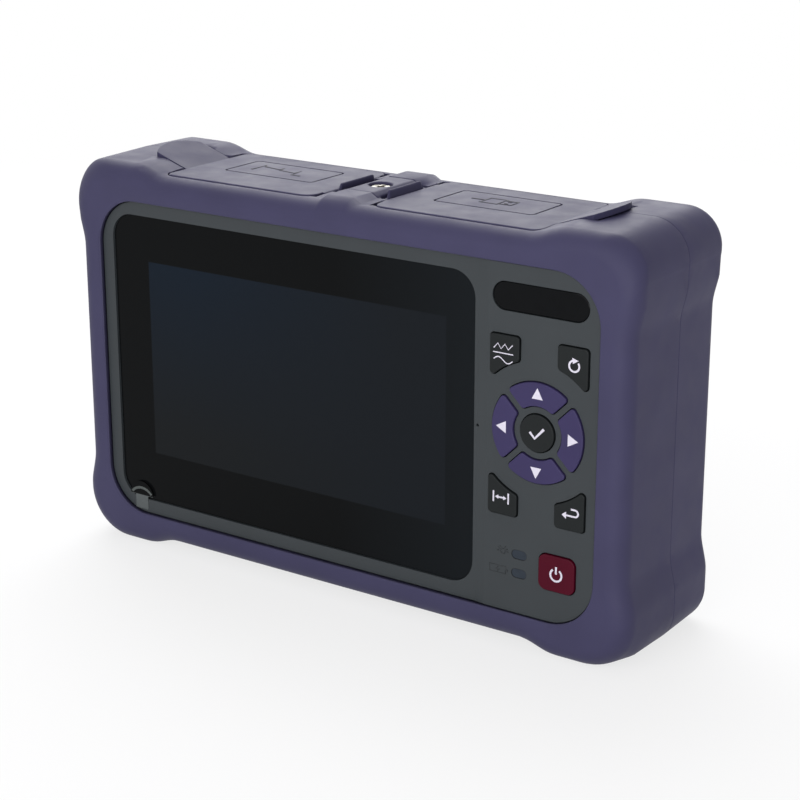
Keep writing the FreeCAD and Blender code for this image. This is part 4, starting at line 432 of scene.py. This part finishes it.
def make_retainer():
    """The retainer with its edges rounded as moulded rubber has them, which are sharper on its solid."""
    retainer = new_object("retainer", NODES["flap_retainer"].data.copy())
    retainer.modifiers.new("weld", "WELD").merge_threshold = WELD
    remesh = retainer.modifiers.new("remesh", "REMESH")
    remesh.mode = "VOXEL"
    remesh.voxel_size = RETAINER_VOXEL
    remesh.use_smooth_shade = True
    smooth = retainer.modifiers.new("smooth", "SMOOTH")
    smooth.factor = 0.5
    smooth.iterations = RETAINER_SMOOTHING
    paint(retainer, "skin_flap")
    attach(retainer, "housing")
    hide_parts("flap_retainer")


# --- Legends ----------------------------------------------------------------------------------------
ON_FRONT = Matrix(((1, 0, 0), (0, 0, -1), (0, 1, 0)))
ON_TOP = Matrix.Identity(3)
SAME_POINT = 1e-6


def arc(u, v, radius, start, end, steps=24):
    """Points of an arc round (u, v), from start to end degrees."""
    turns = [math.radians(start + (end - start) * i / steps) for i in range(steps + 1)]
    return [(u + radius * math.cos(a), v + radius * math.sin(a)) for a in turns]


def turned(points, degrees):
    c, s = math.cos(math.radians(degrees)), math.sin(math.radians(degrees))
    return [(u * c - v * s, u * s + v * c) for u, v in points]


def arrow_head(tip, base, half):
    """Closed outline of a level arrow head, from its tip to its base."""
    return [(tip, 0), (base, -half), (base, half), (tip, 0)]


def curve_mesh(name, lines, **settings):
    """Mesh of a curve through each line, closed where a line ends on its start."""
    curve = bpy.data.curves.new(name, "CURVE")
    for key, value in settings.items():
        setattr(curve, key, value)
    for line in lines:
        spline = curve.splines.new("POLY")
        closed = math.dist(line[0], line[-1]) < SAME_POINT
        points = line[:-1] if closed else line
        spline.points.add(len(points) - 1)
        for point, (u, v) in zip(spline.points, points):
            point.co = (u, v, 0, 1)
        spline.use_cyclic_u = closed
    holder = bpy.data.objects.new(name, curve)
    mesh = bpy.data.meshes.new_from_object(holder)
    bpy.data.objects.remove(holder)
    return mesh


def mark(name, body, finish, at, lines=(), fills=(), width=0.5, height=0.06, turn=ON_FRONT):
    """Legend half sunk in a face: strokes and filled outlines in millimetres round `at`."""
    shape = bmesh.new()
    if lines:
        mesh = curve_mesh(name, lines, dimensions="3D", bevel_depth=width / 2, bevel_resolution=2,
                          use_fill_caps=True)
        mesh.transform(Matrix.Diagonal((1, 1, height / width, 1)))
        shape.from_mesh(mesh)
    if fills:  # the flat and its rounded rim reach half the height each way
        shape.from_mesh(curve_mesh(name, fills, dimensions="2D", fill_mode="BOTH",
                                   extrude=height / 3, bevel_depth=height / 6))
    data = bpy.data.meshes.new(name)
    shape.to_mesh(data)
    shape.free()
    data.transform((Matrix.Translation(at) @ turn.to_4x4()) @ Matrix.Scale(MM, 4))
    data.polygons.foreach_set("use_smooth", [True] * len(data.polygons))
    obj = new_object(name, data)
    paint(obj, finish)
    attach(obj, body)


def face_point(node, du=0.0, dv=0.0):
    """Middle of a node's front face, moved by du and dv millimetres."""
    low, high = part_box(node)
    return Vector(((low[0] + high[0]) / 2 + du * MM, low[1], (low[2] + high[2]) / 2 + dv * MM))


ARROW_RING_R = 9.7
ARROW = [(-1.5, -1.15), (1.5, -1.15), (0, 1.6), (-1.5, -1.15)]


def make_arrow_legends():
    middle = face_point("ok_key")
    for name, degrees in (("up", 0), ("left", 90), ("down", 180), ("right", 270)):
        u, v = turned([(0, ARROW_RING_R)], degrees)[0]
        at = middle + Vector((u * MM, 0, v * MM))
        mark("legend_" + name, name + "_key", "legend", at, fills=[turned(ARROW, degrees)])


def make_key_legends():
    """A tick, a circling arrow, a trace over an average, two cursors, a return arrow and a power sign."""
    tick = [(-1.9, 0.1), (-0.5, -1.3), (2.0, 1.4)]
    mark("legend_tick", "ok_key", "legend", face_point("ok_key"), lines=[tick], width=0.7)
    circle = arc(0, 0, 1.35, 100, 400)
    head = [(-0.55, 1.95), (1.15, 1.45), (-0.35, 0.55), (-0.55, 1.95)]
    mark("legend_repeat", "auto_test_key", "legend", face_point("auto_test_key", 0.4, 0.6),
         lines=[circle], fills=[head])
    zigzag = [(-2.6, 1.0), (-1.5, 2.3), (-0.6, 1.0), (0.5, 2.3), (1.4, 1.0), (2.6, 2.3)]
    wave = [(u / 4 - 2.6, 0.7 * math.sin(u * math.pi / 10.4) - 1.7) for u in range(22)]
    mark("legend_trace", "trace_mode_key", "legend", face_point("trace_mode_key", -0.3, 0.5),
         lines=[zigzag, [(-2.8, 0), (2.8, 0)], wave], width=0.28)
    cursors = [[(u, -1.4), (u, 1.4)] for u in (-2.1, 2.1)]
    heads = [arrow_head(-1.6, -0.7, 0.55), arrow_head(1.6, 0.7, 0.55)]
    mark("legend_cursors", "cursor_key", "legend", face_point("cursor_key", -0.3, -0.5),
         lines=cursors + [[(-0.9, 0), (0.9, 0)]], fills=heads, width=0.45)
    back = [(-1.2, -0.2), (1.3, -0.2)] + arc(1.3, 0.65, 0.85, -90, 90, 12) + [(0.2, 1.5)]
    back_head = [(-2.3, -0.2), (-1.1, -1.1), (-1.1, 0.7), (-2.3, -0.2)]
    mark("legend_back", "escape_key", "legend", face_point("escape_key", 0.4, -0.9),
         lines=[back], fills=[back_head])
    power = [arc(0, -0.15, 1.55, 125, 415), [(0, 0.1), (0, 2.0)]]
    mark("legend_power", "power_key", "legend", face_point("power_key"), lines=power, width=0.55)


LAMP_HALF = 1.15 * MM                          # a lamp window's half height
RING_HALF_U, RING_R = 0.95, 1.22
RING_PROUD, SIGN_PROUD = 0.1 * MM, 0.15 * MM   # in front of the lamp windows' faces
SIGN_STROKE = {"width": 0.34, "height": 0.24}
LAMP_SIGN_U, BATTERY_SIGN_U = -4.7 * MM, -5.9 * MM
BULB_R, RAY_START, RAY_END = 0.65, 1.15, 1.6


def make_panel_marks():
    """Painted shade round the lamp windows' recessed edges, and the raised signs beside them, a lamp and
    a battery.
    """
    low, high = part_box("light_pipes")
    middle_x, face_y = (low[0] + high[0]) / 2, low[1]
    upper_z, lower_z = high[2] - LAMP_HALF, low[2] + LAMP_HALF
    ring = (arc(RING_HALF_U, 0, RING_R, -90, 90) + arc(-RING_HALF_U, 0, RING_R, 90, 270)
            + [(RING_HALF_U, -RING_R)])
    bulb = arc(0, 0, BULB_R, 0, 360)
    rays = [[(r * math.cos(a), r * math.sin(a)) for r in (RAY_START, RAY_END)]
            for a in (math.radians(30 * i) for i in (0, 1, 2, 4, 5, 6))]
    cell = [(-2.5, -0.95), (2.1, -0.95), (2.1, 0.95), (-2.5, 0.95), (-2.5, -0.95)]
    pole = [(2.55, -0.35), (2.55, 0.35)]
    bolt = [(-0.1, 0.6), (-0.8, -0.1), (0.4, 0.1), (-0.3, -0.6)]
    for row, z, sign, sign_u, lines in (
            ("upper", upper_z, "sign_lamp", LAMP_SIGN_U, [bulb] + rays),
            ("lower", lower_z, "sign_battery", BATTERY_SIGN_U, [cell, pole, bolt])):
        ring_at = Vector((middle_x, face_y - RING_PROUD, z))
        # a dark ring of painted shade round the window
        mark("lamp_ring_" + row, "housing", "rim_ink", ring_at, lines=[ring], width=0.16, height=0.12)
        sign_at = Vector((middle_x + sign_u, face_y - SIGN_PROUD, z))
        mark(sign, "housing", "panel_mark", sign_at, lines=lines, **SIGN_STROKE)


FLAP_DROP = 1.8 * MM                           # flaps' faces below the retainer's top
PLUG_SIGN_X, TRACE_SIGN_X = 31.5 * MM, -34.3 * MM
FLAP_SIGN_Y = 3.6 * MM
ENGRAVING = {"width": 0.85, "height": 0.2, "turn": ON_TOP}


def make_flap_signs():
    """A plug on the USB flap, and a backscatter trace on the optical ports' flap, engraved, their strokes
    drawn dark as painted shade in the grooves.
    """
    face_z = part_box("flap_retainer")[1][2] - FLAP_DROP
    plug = [(-2.2, -2.6), (2.6, -2.6), (2.6, 2.6), (-2.2, 2.6), (-2.2, -2.6)]
    shell = [(2.6, -1.9), (6.2, -1.9), (6.2, 1.9), (2.6, 1.9)]
    lead = [(-2.2, 0), (-6.2, 0)]
    holes = [[(3.9, v), (4.9, v)] for v in (-0.95, 0.95)]
    mark("sign_plug", "usb_flap", "skin_mark", Vector((PLUG_SIGN_X, FLAP_SIGN_Y, face_z)),
         lines=[plug, shell, lead] + holes, **ENGRAVING)
    trace = [(-8.0, -3.0), (-8.0, 3.4), (-7.0, 1.6), (-1.4, 0.6), (-1.4, 2.6), (-0.8, 0.0), (4.6, -0.9),
             (4.6, 2.0), (5.3, -3.0), (8.0, -3.0)]
    mark("sign_trace", "optical_flap", "skin_mark", Vector((TRACE_SIGN_X, FLAP_SIGN_Y, face_z)),
         lines=[trace], **ENGRAVING)


FILM_RIM_R, FILM_RIM_RISE = 4.6, 1.55
FILM_RIM_DROP = 3.4 * MM                       # its ends below the tab's top


def make_film_edge():
    """Folded rim round the film tab's head, drawn pale as a painted highlight on its lifted edge."""
    low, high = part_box("screen_film_tab")
    at = Vector(((low[0] + high[0]) / 2, low[1], high[2] - FILM_RIM_DROP))
    sink = FILM_RIM_R - FILM_RIM_RISE
    spread = math.degrees(math.acos(sink / FILM_RIM_R))
    mark("film_rim", "housing", "film_edge", at,
         lines=[arc(0, -sink, FILM_RIM_R, 90 - spread, 90 + spread)], width=0.8, height=0.16)


# --- Stage and light ------------------------------------------------------------------------------
WHITE = (1, 1, 1, 1)
FLOOR_HALF = 6.0
FLOOR_COLOUR = (0.86, 0.86, 0.87, 1)
FLOOR_GLOW = 0.74                              # near the object, where the floor shows its shadow
GLOW_START, GLOW_END = 0.2, 0.6                # distances over which the glow rises to all white
FILL = 0.42                                    # the world's light on the object
LIGHT_TARGET = (0.0, 0.0, 0.055)
SOFTBOXES = (                                  # name, place, size and watts
    ("key_softbox", (0.0, -0.9, 0.38), (0.8, 0.8), 4.4),
    ("low_softbox", (0.42, -0.6, 0.08), (0.3, 0.3), 2.7),
    ("top_softbox", (-0.45, 0.5, 0.9), (1.0, 1.0), 11.0),
    ("back_softbox", (-0.6, 0.9, 0.45), (1.0, 0.6), 3.0),
)
CAMERA_PLACE = (0.2923, -0.4129, 0.2122)
CAMERA_AZIMUTH, CAMERA_ELEVATION = math.radians(34.74), math.radians(17.9)
LENS, SENSOR = 91.07, 36.0                     # millimetres
NEAREST = 10 * MM


def seen_directly(nodes, links, kinds):
    """1 for the named kinds of ray and 0 for the rest."""
    rays = nodes.new("ShaderNodeLightPath")
    either = rays.outputs[kinds[0]]
    for kind in kinds[1:]:
        larger = nodes.new("ShaderNodeMath")
        larger.operation = "MAXIMUM"
        links.new(either, larger.inputs[0])
        links.new(rays.outputs[kind], larger.inputs[1])
        either = larger.outputs[0]
    return either


def mix_shaders(nodes, links, factor, low, high, output):
    """Sends shader low where the factor is 0, and high where it is 1, to a new output."""
    mix = nodes.new("ShaderNodeMixShader")
    links.new(factor, mix.inputs[0])
    links.new(low.outputs[0], mix.inputs[1])
    links.new(high.outputs[0], mix.inputs[2])
    links.new(mix.outputs[0], nodes.new(output).inputs[0])


def floor_glow(nodes, links):
    """The glow's strength, which rises with the distance from the object."""
    place = nodes.new("ShaderNodeTexCoord")
    away = nodes.new("ShaderNodeVectorMath")
    away.operation = "LENGTH"
    links.new(place.outputs["Object"], away.inputs[0])
    glow = nodes.new("ShaderNodeMapRange")
    for socket, value in (("From Min", GLOW_START), ("From Max", GLOW_END),
                          ("To Min", FLOOR_GLOW), ("To Max", 1.0)):
        glow.inputs[socket].default_value = value
    links.new(away.outputs["Value"], glow.inputs["Value"])
    return glow.outputs[0]


def floor_material():
    """Pale matt floor that looks nearly white, but gives the object only its matt light."""
    material = bpy.data.materials.new("studio_floor")
    nodes, links = fresh_nodes(material)
    matt = nodes.new("ShaderNodeBsdfDiffuse")
    matt.inputs["Color"].default_value = FLOOR_COLOUR
    light = nodes.new("ShaderNodeEmission")
    share = nodes.new("ShaderNodeMath")
    share.operation = "MULTIPLY"
    links.new(seen_directly(nodes, links, ("Is Camera Ray", "Is Glossy Ray")), share.inputs[0])
    links.new(floor_glow(nodes, links), share.inputs[1])
    mix_shaders(nodes, links, share.outputs[0], matt, light, "ShaderNodeOutputMaterial")
    return material


def make_stage():
    mesh = bpy.data.meshes.new("studio_floor")
    corners = [(x * FLOOR_HALF, y * FLOOR_HALF, 0) for x, y in ((-1, -1), (1, -1), (1, 1), (-1, 1))]
    mesh.from_pydata(corners, [], [(0, 1, 2, 3)])
    mesh.materials.append(floor_material())
    floor = new_object("studio_floor", mesh)


def make_world():
    """A white world to look at, and a dimmer one to light the object."""
    world = bpy.data.worlds.new("studio")
    bpy.context.scene.world = world
    nodes, links = fresh_nodes(world)
    fill, seen = (nodes.new("ShaderNodeBackground") for _ in range(2))
    fill.inputs["Color"].default_value = seen.inputs["Color"].default_value = WHITE
    fill.inputs["Strength"].default_value = FILL
    kinds = ("Is Camera Ray", "Is Glossy Ray", "Is Transmission Ray")
    mix_shaders(nodes, links, seen_directly(nodes, links, kinds), fill, seen, "ShaderNodeOutputWorld")


def make_lights():
    for name, place, size, watts in SOFTBOXES:
        light = bpy.data.lights.new(name, "AREA")
        light.shape = "RECTANGLE"
        light.size, light.size_y = size
        light.energy = watts
        lamp = new_object(name, light)
        lamp.location = place
        lamp.rotation_euler = (Vector(LIGHT_TARGET) - Vector(place)).to_track_quat("-Z", "Y").to_euler()


def make_camera():
    camera = bpy.data.cameras.new("camera")
    camera.lens = LENS
    camera.sensor_width = SENSOR
    camera.clip_start = NEAREST
    obj = new_object("camera", camera)
    obj.location = CAMERA_PLACE
    obj.rotation_euler = (math.pi / 2 - CAMERA_ELEVATION, 0.0, CAMERA_AZIMUTH)
    bpy.context.scene.camera = obj


make_finishes()
paint_frame()
make_bumper("front_bumper", "bumper_front", "skin_front", back=False)
make_bumper("rear_bumper", "bumper_back", "skin_back", back=True)
make_retainer()
make_arrow_legends()
make_key_legends()
make_panel_marks()
make_flap_signs()
make_film_edge()
make_stage()
make_world()
make_lights()
make_camera()
bpy.context.scene.view_settings.view_transform = "Standard"
